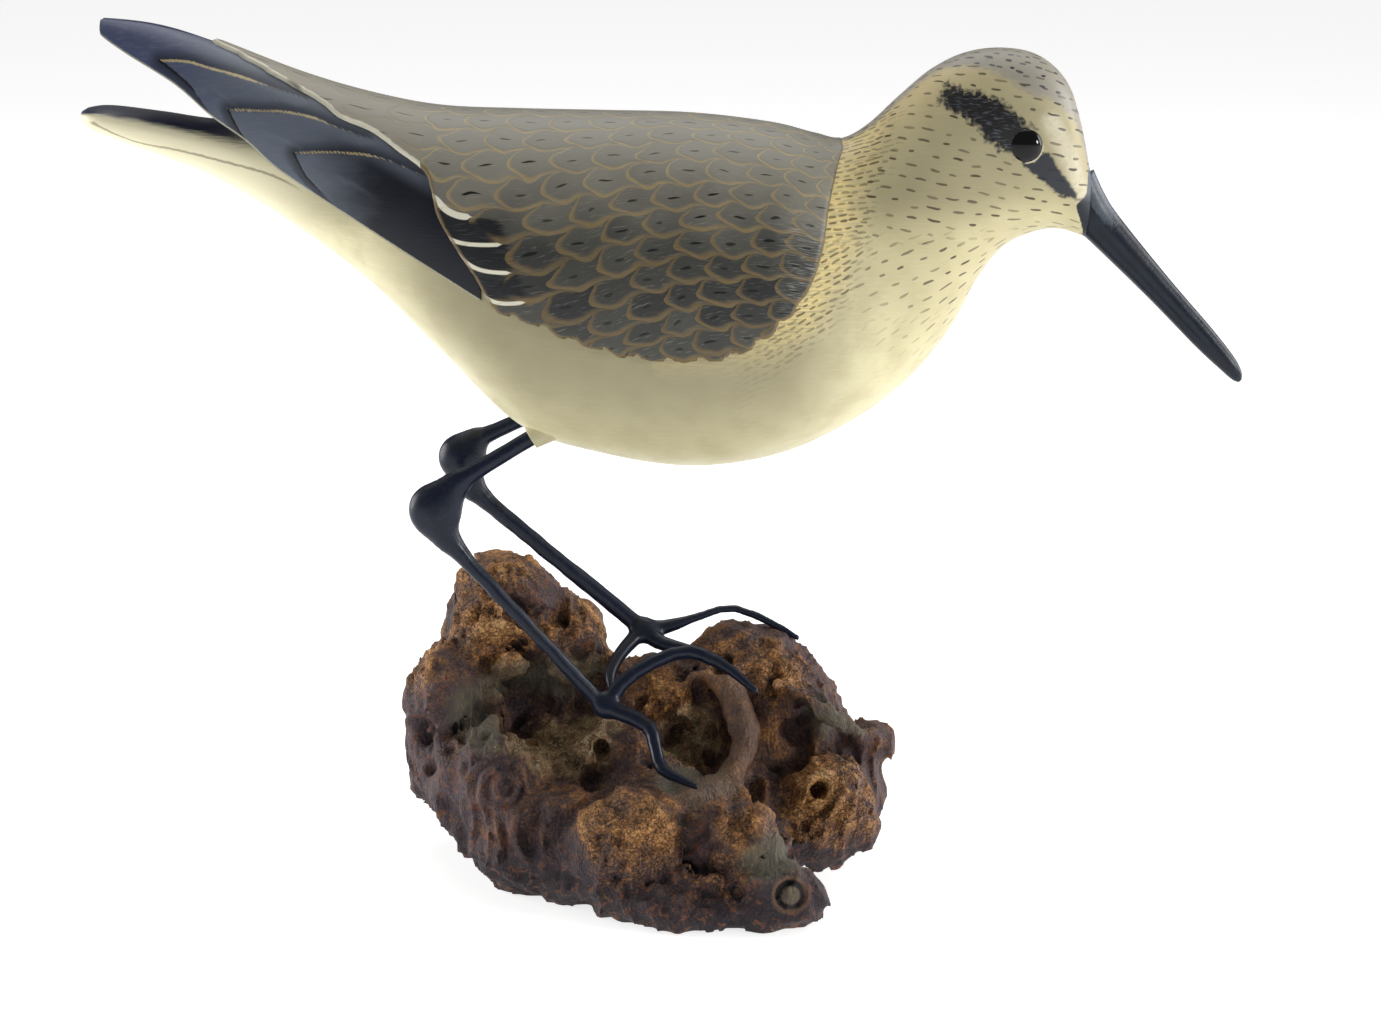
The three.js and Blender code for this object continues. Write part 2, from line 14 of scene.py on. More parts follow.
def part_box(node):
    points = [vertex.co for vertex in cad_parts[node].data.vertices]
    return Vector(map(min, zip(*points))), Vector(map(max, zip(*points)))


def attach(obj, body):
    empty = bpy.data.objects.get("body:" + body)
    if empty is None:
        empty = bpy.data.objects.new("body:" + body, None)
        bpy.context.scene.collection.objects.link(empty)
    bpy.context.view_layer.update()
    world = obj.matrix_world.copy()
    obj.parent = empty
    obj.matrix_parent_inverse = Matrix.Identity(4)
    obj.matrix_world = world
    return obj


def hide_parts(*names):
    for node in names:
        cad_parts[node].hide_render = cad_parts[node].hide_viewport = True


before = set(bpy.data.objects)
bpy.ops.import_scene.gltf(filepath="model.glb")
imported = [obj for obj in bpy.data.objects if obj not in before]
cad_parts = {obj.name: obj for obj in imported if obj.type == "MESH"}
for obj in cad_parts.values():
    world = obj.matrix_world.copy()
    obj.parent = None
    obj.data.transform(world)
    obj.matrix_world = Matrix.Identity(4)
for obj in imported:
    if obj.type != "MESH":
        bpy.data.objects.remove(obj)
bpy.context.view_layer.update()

Array = NDArray[np.float64]

MM = 0.001
FAR = 99.0
VARNISH = {"Coat_Weight": 0.08, "Coat_Roughness": 0.25, "Specular_IOR_Level": 0.28}
LOG = logging.getLogger("decoy")


class Slot(Enum):
    """Material slots of the record."""

    PLUMAGE = "painted_plumage"
    DARK = "dark_paint"
    GLASS = "eye_glass"
    BURL = "root_burl"


def linear(code: str) -> tuple[float, float, float, float]:
    """Turn an sRGB hex colour linear.

    Args:
        code: Six hex digits after a hash sign.

    Returns:
        Linear red, green and blue, and an alpha of one.
    """
    parts = np.array([int(code[k : k + 2], 16) for k in (1, 3, 5)]) / 255
    bright = np.where(parts <= 0.04045, parts / 12.92, ((parts + 0.055) / 1.055) ** 2.4)
    return (*bright.tolist(), 1.0)


def ease(value: Array, low: float, high: float) -> Array:
    """Smooth step: 0 below low, 1 above high, and 3t^2 - 2t^3 between them."""
    share = np.clip((value - low) / (high - low), 0, 1)
    return share * share * (3 - 2 * share)


def catmull(rows: Array, share: Array) -> Array:
    """Carry rows of numbers along a table, by a Catmull-Rom curve through its rows.

    Args:
        rows: Table of n rows.
        share: Places along the table, from 0 to n - 1.

    Returns:
        One row for each place.
    """
    last = len(rows) - 1
    i = np.clip(np.floor(share).astype(int), 0, last - 1)
    t = (share - i)[:, None]
    before, here, after = rows[np.maximum(i - 1, 0)], rows[i], rows[i + 1]
    beyond = rows[np.minimum(i + 2, last)]
    start, end = (after - before) / 2, (beyond - here) / 2
    bend = (2 * t**3 - 3 * t**2 + 1) * here + (t**3 - 2 * t**2 + t) * start
    return bend + (3 * t**2 - 2 * t**3) * after + (t**3 - t**2) * end


def spread_rows(rows: Array, count: int) -> Array:
    """Rows carried evenly along a table, from its first row to its last."""
    return catmull(rows, np.linspace(0, len(rows) - 1, count))


def curve(points: Array, count: int) -> Array:
    """Even stations along a smooth curve through points.

    Args:
        points: Points that the curve passes through.
        count: Number of stations.

    Returns:
        One point for each station.
    """
    fine = spread_rows(points, 40 * len(points))
    run = np.concatenate([[0], np.cumsum(np.linalg.norm(np.diff(fine, axis=0), axis=1))])
    at = np.linspace(0, run[-1], count)
    return np.stack([np.interp(at, run, column) for column in fine.T], axis=1)


def turns(sides: int) -> Array:
    """Even angles round a ring."""
    return np.arange(sides) / sides * 2 * np.pi


def stacked(*parts: Array) -> Array:
    """Up to three numbers for each point on a last axis, with noughts for those left out."""
    return np.stack([*parts, *[np.zeros_like(parts[0])] * (3 - len(parts))], axis=-1)


def lattice_noise(points: Array, size: float, seed: int) -> Array:
    """Smooth random field: numbers at the corners of a cubic lattice, blended by a quintic step.

    Args:
        points: Places, as n rows of three.
        size: Edge of a lattice cell.
        seed: Choice of the field.

    Returns:
        A number from -1 to 1 for each place.
    """
    scaled = points / size
    cell = np.floor(scaled).astype(np.int64)
    part = scaled - cell
    blend = part**3 * (part * (part * 6 - 15) + 10)
    total = np.zeros(len(points))
    for corner in np.ndindex(2, 2, 2):
        at = cell + np.array(corner)
        mixed = (at[:, 0] * 73856093) ^ (at[:, 1] * 19349663) ^ (at[:, 2] * 83492791) ^ (seed * 2654435)
        mixed = ((mixed ^ (mixed >> 13)) * 1274126177) & 0x7FFFFFFF
        mixed = ((mixed ^ (mixed >> 15)) * 668265263) & 0x7FFFFFFF
        weight = np.prod(np.where(corner, blend, 1 - blend), axis=1)
        total += weight * (mixed / 0x3FFFFFFF - 1)
    return total


def line_distance(places: Array, line: Array) -> tuple[Array, Array]:
    """Distance from places to a line of straight spans in a plane.

    For each span the nearest point is found by projection; the nearest span counts, and the
    distance is positive on the left of its run.

    Args:
        places: Places, as n rows of two.
        line: Corners of the line, as m rows of two.

    Returns:
        The signed distance, and how far along the line the nearest point lies.
    """
    start, span = line[:-1], np.diff(line, axis=0)
    length = np.linalg.norm(span, axis=1)
    run = np.concatenate([[0], np.cumsum(length)])
    best = np.full(len(places), np.inf)
    signed = np.zeros(len(places))
    along = np.zeros(len(places))
    for k in range(len(span)):
        gap = places - start[k]
        share = np.clip(gap @ span[k] / length[k] ** 2, 0, 1)
        off = gap - share[:, None] * span[k]
        far = np.hypot(off[:, 0], off[:, 1])
        side = np.sign(span[k][0] * gap[:, 1] - span[k][1] * gap[:, 0])
        nearer = far < best - 1e-9
        best = np.where(nearer, far, best)
        signed = np.where(nearer, far * np.where(side == 0, 1, side), signed)
        along = np.where(nearer, run[k] + share * length[k], along)
    return signed, along


def patch_distance(places: Array, corners: tuple) -> Array:
    """Distance from places to the outline of a patch in a plane, less than nothing inside it.

    A place is inside where a ray to one side crosses the outline an odd number of times.

    Args:
        places: Places, as n rows of two.
        corners: Corners of the patch, in order.

    Returns:
        The signed distance.
    """
    loop = np.array([*corners, corners[0]], dtype=float)
    far = np.abs(line_distance(places, loop)[0])
    odd = np.zeros(len(places), dtype=bool)
    for a, b in zip(loop[:-1], loop[1:]):
        crosses = (a[1] > places[:, 1]) != (b[1] > places[:, 1])
        rise = b[1] - a[1] if b[1] != a[1] else 1e-9
        odd ^= crosses & (places[:, 0] < a[0] + (places[:, 1] - a[1]) / rise * (b[0] - a[0]))
    return np.where(odd, -far, far)


def normals(skin: Array) -> Array:
    """Unit normals of a skin, from the cross product of the steps round and along it."""
    normal = np.cross(np.gradient(skin, axis=1), np.gradient(skin, axis=0))
    return normal / np.maximum(np.linalg.norm(normal, axis=-1, keepdims=True), 1e-9)


@dataclass
class Shell:
    """A closed skin: points, faces, and what its paint reads at each point."""

    points: Array
    faces: list[NDArray[np.int64]]
    marks: dict[str, Array] = field(default_factory=dict)


def loft(rings: Array) -> list[NDArray[np.int64]]:
    """Faces of a closed skin through rings of points, with a fan on a middle point at each end.

    Args:
        rings: Points as ring, side and three numbers; a ring turns from left to top to right.

    Returns:
        Quads of the side and triangles of the ends; the two middle points come after the rings.
    """
    count, sides = rings.shape[:2]
    i, j = np.meshgrid(np.arange(count - 1), np.arange(sides), indexing="ij")
    a, b = i * sides + j, i * sides + (j + 1) % sides
    quads = np.stack([a, b, b + sides, a + sides], axis=-1).reshape(-1, 4)
    side, last = np.arange(sides), (count - 1) * sides
    after = (side + 1) % sides
    first = np.stack([np.full(sides, count * sides), after, side], axis=1)
    end = np.stack([np.full(sides, count * sides + 1), last + side, last + after], axis=1)
    return [quads, np.concatenate([first, end])]


def with_ends(rings: Array) -> Array:
    """Ring points in one list, followed by the middle points of the first and the last ring."""
    middles = rings[[0, -1]].mean(axis=1)
    return np.concatenate([rings.reshape(-1, rings.shape[-1]), middles])


def closed(rings: Array, marks: dict[str, Array]) -> Shell:
    """Closed skin of rings, whose marks are carried to the middle points of its ends."""
    return Shell(with_ends(rings), loft(rings), {key: with_ends(value) for key, value in marks.items()})


def build(name: str, shells: list[Shell], paints: list[bpy.types.Material]) -> bpy.types.Object:
    """Put shells into one mesh object that rides on the body.

    Args:
        name: Name of the piece.
        shells: Closed skins, one for each paint.
        paints: Materials, in the order of the shells.

    Returns:
        The new object.
    """
    points = np.concatenate([shell.points for shell in shells]) * MM
    faces: list[list[int]] = []
    paint_of: list[int] = []
    start = 0
    for k, shell in enumerate(shells):
        for group in shell.faces:
            faces += (group + start).tolist()
            paint_of += [k] * len(group)
        start += len(shell.points)
    mesh = bpy.data.meshes.new(name)
    mesh.from_pydata(points.tolist(), [], faces)
    for paint in paints:
        mesh.materials.append(paint)
    mesh.polygons.foreach_set("material_index", paint_of)
    mesh.polygons.foreach_set("use_smooth", np.ones(len(faces), dtype=bool))
    for key in sorted({key for shell in shells for key in shell.marks}):
        parts = [shell.marks.get(key, np.zeros((len(shell.points), 3))) for shell in shells]
        mark = mesh.attributes.new(key, "FLOAT_VECTOR", "POINT")
        mark.data.foreach_set("vector", np.concatenate(parts).astype(np.float32).ravel())
    mesh.update()
    mesh.validate()
    piece = bpy.data.objects.new(name, mesh)
    bpy.context.scene.collection.objects.link(piece)
    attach(piece, "root")
    LOG.info("%s: %d points, %d faces", name, len(points), len(faces))
    return piece


class Link:
    """An output of a node. Sums with it add the nodes that work them out."""

    def __init__(self, graph: "Graph", socket: bpy.types.NodeSocket) -> None:
        """Hold an output of a graph."""
        self.graph, self.socket = graph, socket

    def __add__(self, other: "Value") -> "Link":
        """Sum."""
        return self.graph.calc("ADD", self, other)

    def __sub__(self, other: "Value") -> "Link":
        """Difference."""
        return self.graph.calc("SUBTRACT", self, other)

    def __rsub__(self, other: "Value") -> "Link":
        """Difference from a plain number."""
        return self.graph.calc("SUBTRACT", other, self)

    def __mul__(self, other: "Value") -> "Link":
        """Product."""
        return self.graph.calc("MULTIPLY", self, other)

    def __truediv__(self, other: "Value") -> "Link":
        """Quotient."""
        return self.graph.calc("DIVIDE", self, other)

    def __pow__(self, other: "Value") -> "Link":
        """Power."""
        return self.graph.calc("POWER", self, other)

    def __abs__(self) -> "Link":
        """Size without its sign."""
        return self.graph.calc("ABSOLUTE", self)


Value = Link | float | tuple


class Graph:
    """The node tree of one material."""

    def __init__(self, name: str) -> None:
        """Start an empty material."""
        self.material = bpy.data.materials.new(name)
        self.material.use_nodes = True
        self.tree = self.material.node_tree
        self.tree.nodes.clear()

    def add(
        self, kind: str, *inputs: Value, out: int | str = 0, named: dict | None = None, **settings
    ) -> Link | None:
        """Add a node.

        Args:
            kind: Node type without its prefix.
            inputs: Values or links of the first inputs, in order.
            out: Output to return.
            named: Values or links of further inputs, by name or number.
            settings: Properties of the node.

        Returns:
            The chosen output, if the node has any.
        """
        node = self.tree.nodes.new("ShaderNode" + kind)
        for key, value in settings.items():
            setattr(node, key, value)
        for key, value in [*enumerate(inputs), *(named or {}).items()]:
            if isinstance(value, Link):
                self.tree.links.new(value.socket, node.inputs[key])
            else:
                node.inputs[key].default_value = value
        return Link(self, node.outputs[out]) if len(node.outputs) else None

    def calc(self, operation: str, *inputs: Value) -> Link:
        """Work out one sum on numbers."""
        return self.add("Math", *inputs, operation=operation)

    def ragged(self, value: Value, noise: Value, reach: float) -> Value:
        """A number whose borders noise makes ragged, within a reach."""
        return value + (noise - 0.5) * reach

    def step(self, value: Value, low: float, high: float) -> Value:
        """Smooth step of a number from 0 at low to 1 at high, falling if low is the larger."""
        return self.add("MapRange", value, low, high, 0.0, 1.0, interpolation_type="SMOOTHSTEP")

    def over(self, base: str | Value, colour: str | Value, *amounts: Value) -> Value:
        """Paint a colour over another.

        Args:
            base: Colour below.
            colour: Colour on top.
            amounts: Amounts from 0 to 1, whose product counts.

        Returns:
            The mixed colour.
        """
        under, top = (linear(each) if isinstance(each, str) else each for each in (base, colour))
        return self.add("Mix", reduce(mul, amounts), out=2, named={6: under, 7: top}, data_type="RGBA")

    def split(self, vector: Value) -> tuple[Value, Value, Value]:
        """Three parts of a vector or colour."""
        parts = self.add("SeparateXYZ", vector).socket.node.outputs
        return tuple(Link(self, part) for part in parts)

    def mark(self, name: str) -> tuple[Value, Value, Value]:
        """Three numbers that the mesh holds at its points."""
        return self.split(self.add("Attribute", attribute_name=name, out="Vector"))

    def luck(self, *cell: Value) -> tuple[Value, Value, Value]:
        """Three chance numbers from 0 to 1 for each cell of a grid."""
        return self.split(self.add("TexWhiteNoise", self.add("CombineXYZ", *cell, 0.0), out="Color"))

    def place(self) -> Value:
        """Object coordinates in millimetres."""
        metres = self.add("TexCoord", out="Object")
        return self.add("VectorMath", metres, named={3: 1 / MM}, operation="SCALE")

    def noise(self, at: Value, size: float, detail: float = 2, stretch: tuple = (1, 1, 1)) -> Value:
        """Cloudy noise from 0 to 1 whose features measure size, drawn out by stretch."""
        drawn = self.add("VectorMath", at, tuple(1 / (size * k) for k in stretch), operation="MULTIPLY")
        return self.add("TexNoise", drawn, named={"Scale": 1.0, "Detail": detail})

    def warp(self, at: Value, size: float, amount: float) -> Value:
        """Move places by cloudy noise.

        Args:
            at: Places in millimetres.
            size: Size of the noise's features.
            amount: How far a place may move, about.

        Returns:
            The moved places.
        """
        cloud = self.add("TexNoise", at, out=1, named={"Scale": 1 / size, "Detail": 2.0})
        about = self.add("VectorMath", cloud, (0.5, 0.5, 0.5), operation="SUBTRACT")
        return self.add("VectorMath", about, (2 * amount,) * 3, at, operation="MULTIPLY_ADD")

    def ramp(self, value: Value, stops: tuple) -> Value:
        """Lay colours along a number.

        Args:
            value: The number, from 0 to 1.
            stops: Place and colour of each stop.

        Returns:
            The colour.
        """
        colour = self.add("ValToRGB", value)
        marks = colour.socket.node.color_ramp.elements
        for k, (place, code) in enumerate(stops):
            mark = marks[k] if k < 2 else marks.new(place)
            mark.position = place
            mark.color = linear(code)
        return colour

    def finish(
        self, colour: Value, rough: Value, height: Value | None = None, depth: float = 0.1, **fixed
    ) -> bpy.types.Material:
        """Close the tree with the surface.

        Args:
            colour: Base colour.
            rough: Roughness.
            height: Relief from 0 to 1.
            depth: Height of the relief in millimetres.
            fixed: Constant inputs of the surface, by name with low lines for blanks.

        Returns:
            The material.
        """
        named = {"Base Color": colour, "Roughness": rough}
        if height is not None:
            bump = {"Strength": 1.0, "Distance": depth * MM, "Height": height}
            named["Normal"] = self.add("Bump", named=bump)
        named.update({key.replace("_", " "): value for key, value in fixed.items()})
        surface = self.add("BsdfPrincipled", named=named)
        self.add("OutputMaterial", surface)
        return self.material


@dataclass(frozen=True)
class Dashes:
    """Short brush strokes, one in each cell of a staggered grid, each moved a little by chance.

    Sizes are along the stroke and across it.
    """

    cell: tuple[float, float]
    half: tuple[float, float]

    def paint(self, g: Graph, at: Value, lean: float) -> Value:
        """Draw the strokes, whose edge lies where |u / half length|^3 + |v / half height|^2 is about 1.

        Args:
            g: Node tree.
            at: Flow coordinates in millimetres.
            lean: Angle of the strokes in degrees, rising towards the bill.

        Returns:
            Amount of stroke from 0 to 1.
        """
        turned = g.add("VectorRotate", at, named={"Angle": -np.radians(lean)}, rotation_type="Z_AXIS")
        size = (1 / self.cell[0], 1 / self.cell[1], 1)
        x, y, _ = g.split(g.add("VectorMath", turned, size, operation="MULTIPLY"))
        row = g.calc("FLOOR", y)
        along = x + g.add("TexWhiteNoise", named={"W": row}, noise_dimensions="1D") * 7.0
        cell = g.calc("FLOOR", along)
        first, second, third = g.luck(cell, row)
        u, v = along - cell - (first * 0.3 + 0.35), y - row - (second * 0.4 + 0.3)
        long_ = abs(u) * (self.cell[0] / self.half[0]) / (third * 0.7 + 0.6)
        bulk = long_**3.0 + (abs(v) * (self.cell[1] / self.half[1])) ** 2.0
        return g.step(bulk, 1.3, 0.6) * (second * 0.5 + 0.5)


@dataclass(frozen=True)
class BodyPaint:
    """Oil paint on carved wood, brushed wet and varnished satin: cream belly, gold and buff breast
    with short dark dashes, grey crown, and a smudged black stripe through the eye."""

    cream: str = "#e0d8ae"
    shade: str = "#bfb48c"
    light: str = "#eee7c8"
    # Painted shade on the widest part of the flanks and cheeks
    tone: str = "#948c6e"
    buff: str = "#b9ac80"
    gold: str = "#ead493"
    honey: str = "#b1955f"
    dash: str = "#33291d"
    fleck: str = "#262a38"
    hatch: str = "#4c3a20"
    crown: str = "#98948a"
    stripe: str = "#0a0d18"
    dusty: str = "#6a6f7c"
    lore: str = "#0f1a2b"
    pale: str = "#dcd3ba"
    tail: str = "#1f2240"
    tail_painted_light: str = "#f6efcd"
    rim: str = "#8b8168"
    bill: str = "#101722"
    bill_sheen: str = "#5b626c"
    sparse_dashes: Dashes = Dashes((6.0, 3.5), (1.45, 0.35))
    close_dashes: Dashes = Dashes((3.2, 1.7), (1.3, 0.34))
    crown_flecks: Dashes = Dashes((5.0, 3.2), (0.95, 0.42))
    eye_rim: float = 4.75

    def make(self) -> bpy.types.Material:
        """Build the paint of the trunk, tail, neck and head."""
        g = Graph("body_paint")
        at = g.place()
        flow = g.add("Attribute", attribute_name="flow", out="Vector")
        ahead, girth, crown = g.mark("zones")
        stripe, lore, brow = g.mark("face")
        tail_line, eye, throat = g.mark("lines")
        face_edge, ridge, _ = g.mark("more")
        x, _, z = g.split(at)
        cloud = g.noise(at, 9, 3)
        grain = g.noise(flow, 1, 2, (6, 0.55, 1))
        fine = g.noise(at, 1.3, 3)
        # Cream with faint long brush marks and warmer thin places
        colour = g.over(self.cream, self.shade, g.step(cloud, 0.35, 0.75), 0.5)
        colour = g.over(colour, self.light, g.step(grain, 0.5, 0.72), 0.35)
        colour = g.over(colour, self.buff, throat, 0.45)
        # Painted shade darkens the flanks and cheeks along their widest line, and painted light keeps the
        # tail pale
        flank = g.step(x, 66, 34) * g.step(x, -84, -50)
        painted_shade = g.calc("MAXIMUM", flank, g.step(z, 186, 200) * 0.8)
        colour = g.over(colour, self.tone, g.step(abs(girth - 1), 0.85, 0.2), painted_shade, 0.85)
        colour = g.over(colour, self.tail_painted_light, g.step(x, -80, -112), 0.85)
        # Honey wash up the nape, and gold in front of the wing laid in short strokes
        colour = g.over(colour, self.honey, g.step(ridge, 24, 4), throat, 0.45)
        near = g.ragged(ahead, cloud, 10)
        gold = g.step(near, 12.5, 2.5) * g.step(z, 150, 172)
        colour = g.over(colour, self.gold, gold, g.step(grain, 0.36, 0.6) * 0.75 + 0.2)
        # Dashes: sparse and darker on the neck, steeper down the breast, close and brown on the gold
        jog = g.warp(flow, 9, 1.3)
        high, low = g.step(z, 184, 192), g.step(z, 146, 172)
        neck = g.step(z, 191, 184) * g.step(z, 162, 170)
        breast = g.step(z, 169, 162) * g.step(z, 138, 152)
        leans = ((-13, high), (20, neck), (38, breast))
        sparse = reduce(add, [self.sparse_dashes.paint(g, jog, lean) * where for lean, where in leans])
        leans = ((2, high), (26, 1 - high))
        close = reduce(add, [self.close_dashes.paint(g, jog, lean) * where for lean, where in leans])
        fence = g.step(near, 14, 8) * g.step(x, 16, 36) * (low * 0.65 + 0.15)
        # Grey crown, thinly brushed and flecked, and pale brow
        fringe = g.ragged(g.ragged(crown, fine, 3.4), grain, 3)
        colour = g.over(colour, self.crown, g.step(fringe, -2, 1.6), 0.9)
        colour = g.over(colour, self.pale, g.step(brow, 4, 0.6), fine * 0.8 + 0.2)
        colour = g.over(colour, self.hatch, close, fence)
        colour = g.over(colour, self.dash, sparse, g.step(near, 5, 9), throat, low * 0.5 + 0.4)
        colour = g.over(colour, self.fleck, self.crown_flecks.paint(g, jog, -14), g.step(fringe, -0.5, 1.5))
        # Smudged lore and stripe, dabbed with a dry brush, and a pale painted highlight on the lower right of
        # the lower lid
        dab = g.ragged((g.noise(at, 1.5, 4) - 0.5) * 7, cloud, 3)
        colour = g.over(colour, self.lore, g.step(lore + dab * 0.3, 0.6, -0.5), 0.95)
        bristles = g.noise(flow, 1, 2, (2.6, 0.5, 1))
        dry = g.over(self.stripe, self.dusty, g.step(bristles, 0.5, 0.72), 0.5)
        colour = g.over(colour, dry, g.step(stripe + dab, 1.4, -0.9), 0.97)
        lid_highlight = g.step(abs(eye - self.eye_rim), 0.4, 0.15)
        colour = g.over(colour, self.pale, lid_highlight, g.step(x - z, -105.6, -104.4), 0.7)
        # The paint of the bill laps over the face, lighter grey on its upper part as a painted highlight
        bill = g.over(self.bill, self.bill_sheen, g.step(z, 195, 199), 0.75)
        colour = g.over(colour, bill, g.step(face_edge + fine * 0.6, 0.1, 0.5))
        # Tail: dark above, cream below a grey rim line
        above = g.step(g.ragged(girth, grain, 0.24), 0.86, 0.64)
        colour = g.over(colour, self.tail, g.step(x, -100, -116), above)
        line = g.step(abs(g.ragged(tail_line, fine, 0.6)), 0.55, 0.15)
        colour = g.over(colour, self.rim, line, g.step(x, -93, -100), 0.75)
        rough = g.add("MapRange", cloud, 0.3, 0.8, 0.38, 0.52)
        return g.finish(colour, rough, grain * 0.5 + fine * 0.35, 0.12, **VARNISH)


@dataclass(frozen=True)
class CovertPaint:
    """Oil paint on the carved wing: overlapping grey feathers with olive-buff edges, a small dark
    shaft mark on each, fine hair strokes, and white rims on the greater coverts."""

    length: float = 11.2
    width: float = 8.4
    swell: float = 0.09
    upper: str = "#8b887c"
    lower: str = "#2d2e2e"
    edge_upper: str = "#b5a27a"
    edge_lower: str = "#766443"
    mark: str = "#0e0f14"
    hair: str = "#b9b6a4"
    neck_hair: str = "#a9a9a4"
    white: str = "#ece8d2"
    greater: str = "#15171c"
    greater_worn: str = "#5b5d5e"
    tertial: str = "#968e7e"

    def make(self) -> bpy.types.Material:
        """Build the paint of the coverts, shoulder and back."""
        g = Graph("covert_paint")
        at = g.place()
        feather = g.add("Attribute", attribute_name="feather", out="Vector")
        edge, low, rear = g.mark("zones")
        bar, taper, greater = g.mark("lines")
        hairs, _, _ = g.mark("more")
        moved = g.warp(feather, 12, 2.4)
        a, b, _ = g.split(moved)
        # Rows of feathers along the wing, whose borders swell at the middle of each feather
        phase, level = a * (1 / self.length), b * (1 / self.width)
        wave, sway = g.calc("COSINE", phase * (2 * np.pi)), g.calc("COSINE", level * np.pi)
        across = level - wave * sway * self.swell
        row = g.calc("FLOOR", across)
        v = across - row - 0.5
        luck_row = g.add("TexWhiteNoise", named={"W": row}, noise_dimensions="1D")
        # The rounded tip of a feather: its outline lies back by a share that grows with |2v|^2.4
        set_back = g.ragged(phase + row * 0.5, luck_row, 0.16) - abs(v * 2) ** 2.4 * 0.42
        cell = g.calc("FLOOR", set_back)
        u = set_back - cell
        first, second, third = g.luck(cell, row)
        # The rim runs round the tip and the lower side; the rest lies under the next feathers
        hair = g.noise(moved, 1, 2, (4.2, 0.4, 1))
        rim = g.calc("SMOOTH_MIN", u * self.length, (0.5 - v) * self.width, 4.6)
        rim = g.ragged(rim, hair, 1.1)
        # Colours run from light grey on the back to slate low on the wing
        deep = g.step(g.ragged(low, g.noise(at, 14), 14), 22, 55)
        inside = g.over(self.upper, self.lower, deep)
        inside = g.over(inside, self.hair, first, 0.1)
        inside = g.over(inside, self.hair, g.step(hair, 0.56, 0.8), 0.28)
        # Greater coverts: near black, brushed along
        streaks = g.noise(moved, 1, 2, (7, 0.45, 1))
        dark = g.over(self.greater, self.greater_worn, g.step(streaks, 0.55, 0.8), 0.4)
        inside = g.over(inside, dark, g.step(g.ragged(greater, streaks, 5), -1, 1.5), 0.95)
        # Buff rims, keenest near the tip and missing on the greater coverts
        buff = g.over(self.edge_upper, self.edge_lower, deep)
        buff = g.over(buff, inside, g.step(hair, 0.5, 0.75), 0.45)
        keen = g.step(u, 1, 0.3) * 0.45 + (second * 0.2 + 0.3)
        rims = g.step(rim - (deep * 0.5 + 0.75), deep * 0.7 + 0.45, -0.5)
        colour = g.over(inside, buff, rims, 1 - rear * 0.45, g.step(greater, 6, 2), keen)
        colour = g.over(colour, self.tertial, rear, 0.55)
        # Shaft marks: small lens shapes near the middle of each feather
        off = (u - (second * 0.14 + 0.46)) / (third * 0.09 + (rear * 0.14 + 0.1))
        thick = (v + 0.04) * self.width / (deep * 0.16 + 0.2)
        spot = g.step(off * off + thick * thick, 1.4, 0.5)
        colour = g.over(colour, self.mark, spot, third * 0.4 + 0.6, g.step(greater, 2, -1))
        # Pale hair strokes where the shoulder meets the neck
        strands = g.noise(feather, 1, 2, (5, 0.32, 1))
        colour = g.over(colour, self.neck_hair, g.step(strands, 0.52, 0.66), hairs, 0.6)
        # White rims of the greater coverts
        colour = g.over(colour, self.white, g.step(abs(bar) - taper, 0.16, -0.16), 0.95)
        # Rims along the carved edges: buff in front, and on the rear a broken white line painted as the
        # highlight of the carved ledge
        wavy = g.ragged(edge, g.noise(at, 2.2), 0.9)
        colour = g.over(colour, self.edge_lower, g.step(wavy, 1.5, 0.9), 0.8 - rear * 0.8)
        ledge_highlight = g.step(wavy, 1.35, 0.85) * g.step(g.noise(at, 7, 1), 0.28, 0.42)
        colour = g.over(colour, self.white, ledge_highlight, g.step(rear, 0.5, 0.9), 0.85)
        rough = g.add("MapRange", hair, 0.3, 0.8, 0.38, 0.52)
        return g.finish(colour, rough, g.step(rim, 0.0, 1.8) * 0.8 + hair * 0.3, 0.16, **VARNISH)


@dataclass(frozen=True)
class FlightPaint:
    """Oil paint on the flight feathers: slate worn to blue-grey towards the tips, near black at the
    flank, with thin buff feather edges and dark notches."""

    slate: str = "#5f6672"
    blue: str = "#474e6b"
    barb: str = "#6b6f7c"
    deep: str = "#080b18"
    buff: str = "#b8a67a"
    notch: str = "#080a12"
    pale: str = "#b9b59a"

    def make(self) -> bpy.types.Material:
        """Build the paint of the flight feathers."""
        g = Graph("flight_paint")
        at = g.place()
        line, kind, taper = g.mark("lines")
        rim, upper, run = g.mark("zones")
        outside, _, _ = g.mark("more")
        cloud = g.noise(at, 7, 3, (2, 1, 0.8))
        fine = g.noise(at, 0.9, 3)
        barb = g.noise(at, 1, 2, (3.4, 3.4, 0.6))
        colour = g.over(self.slate, self.blue, g.step(g.ragged(run, cloud, 20), 45, 10))
        colour = g.over(colour, self.barb, g.step(barb, 0.5, 0.75), 0.35)
        # Near black at the flank, and in the shade below each feather's edge
        flank = g.step(g.ragged(run, cloud, 14), 56, 80)
        colour = g.over(colour, self.deep, flank, g.step(upper, 4, 11), 0.95)
        colour = g.over(colour, self.deep, g.step(line, 4, 0.2), outside, 0.7)
        # Buff upper edges, dark notches and the pale lower rim of the blade
        slim = g.ragged(line, fine, 0.5) - taper * 0.3
        colour = g.over(colour, self.buff, g.step(slim, 0.15, -0.05), g.step(kind, 0.45, 0.6), 0.85)
        colour = g.over(colour, self.notch, g.step(slim, 0.2, -0.1), g.step(kind, 0.55, 0.4))
        colour = g.over(colour, self.pale, g.step(rim + fine * 0.4, 0.9, 0.5), 0.65)
        rough = g.add("MapRange", cloud, 0.3, 0.8, 0.36, 0.5)
        return g.finish(colour, rough, barb * 0.6 + fine * 0.4, 0.08, **VARNISH)


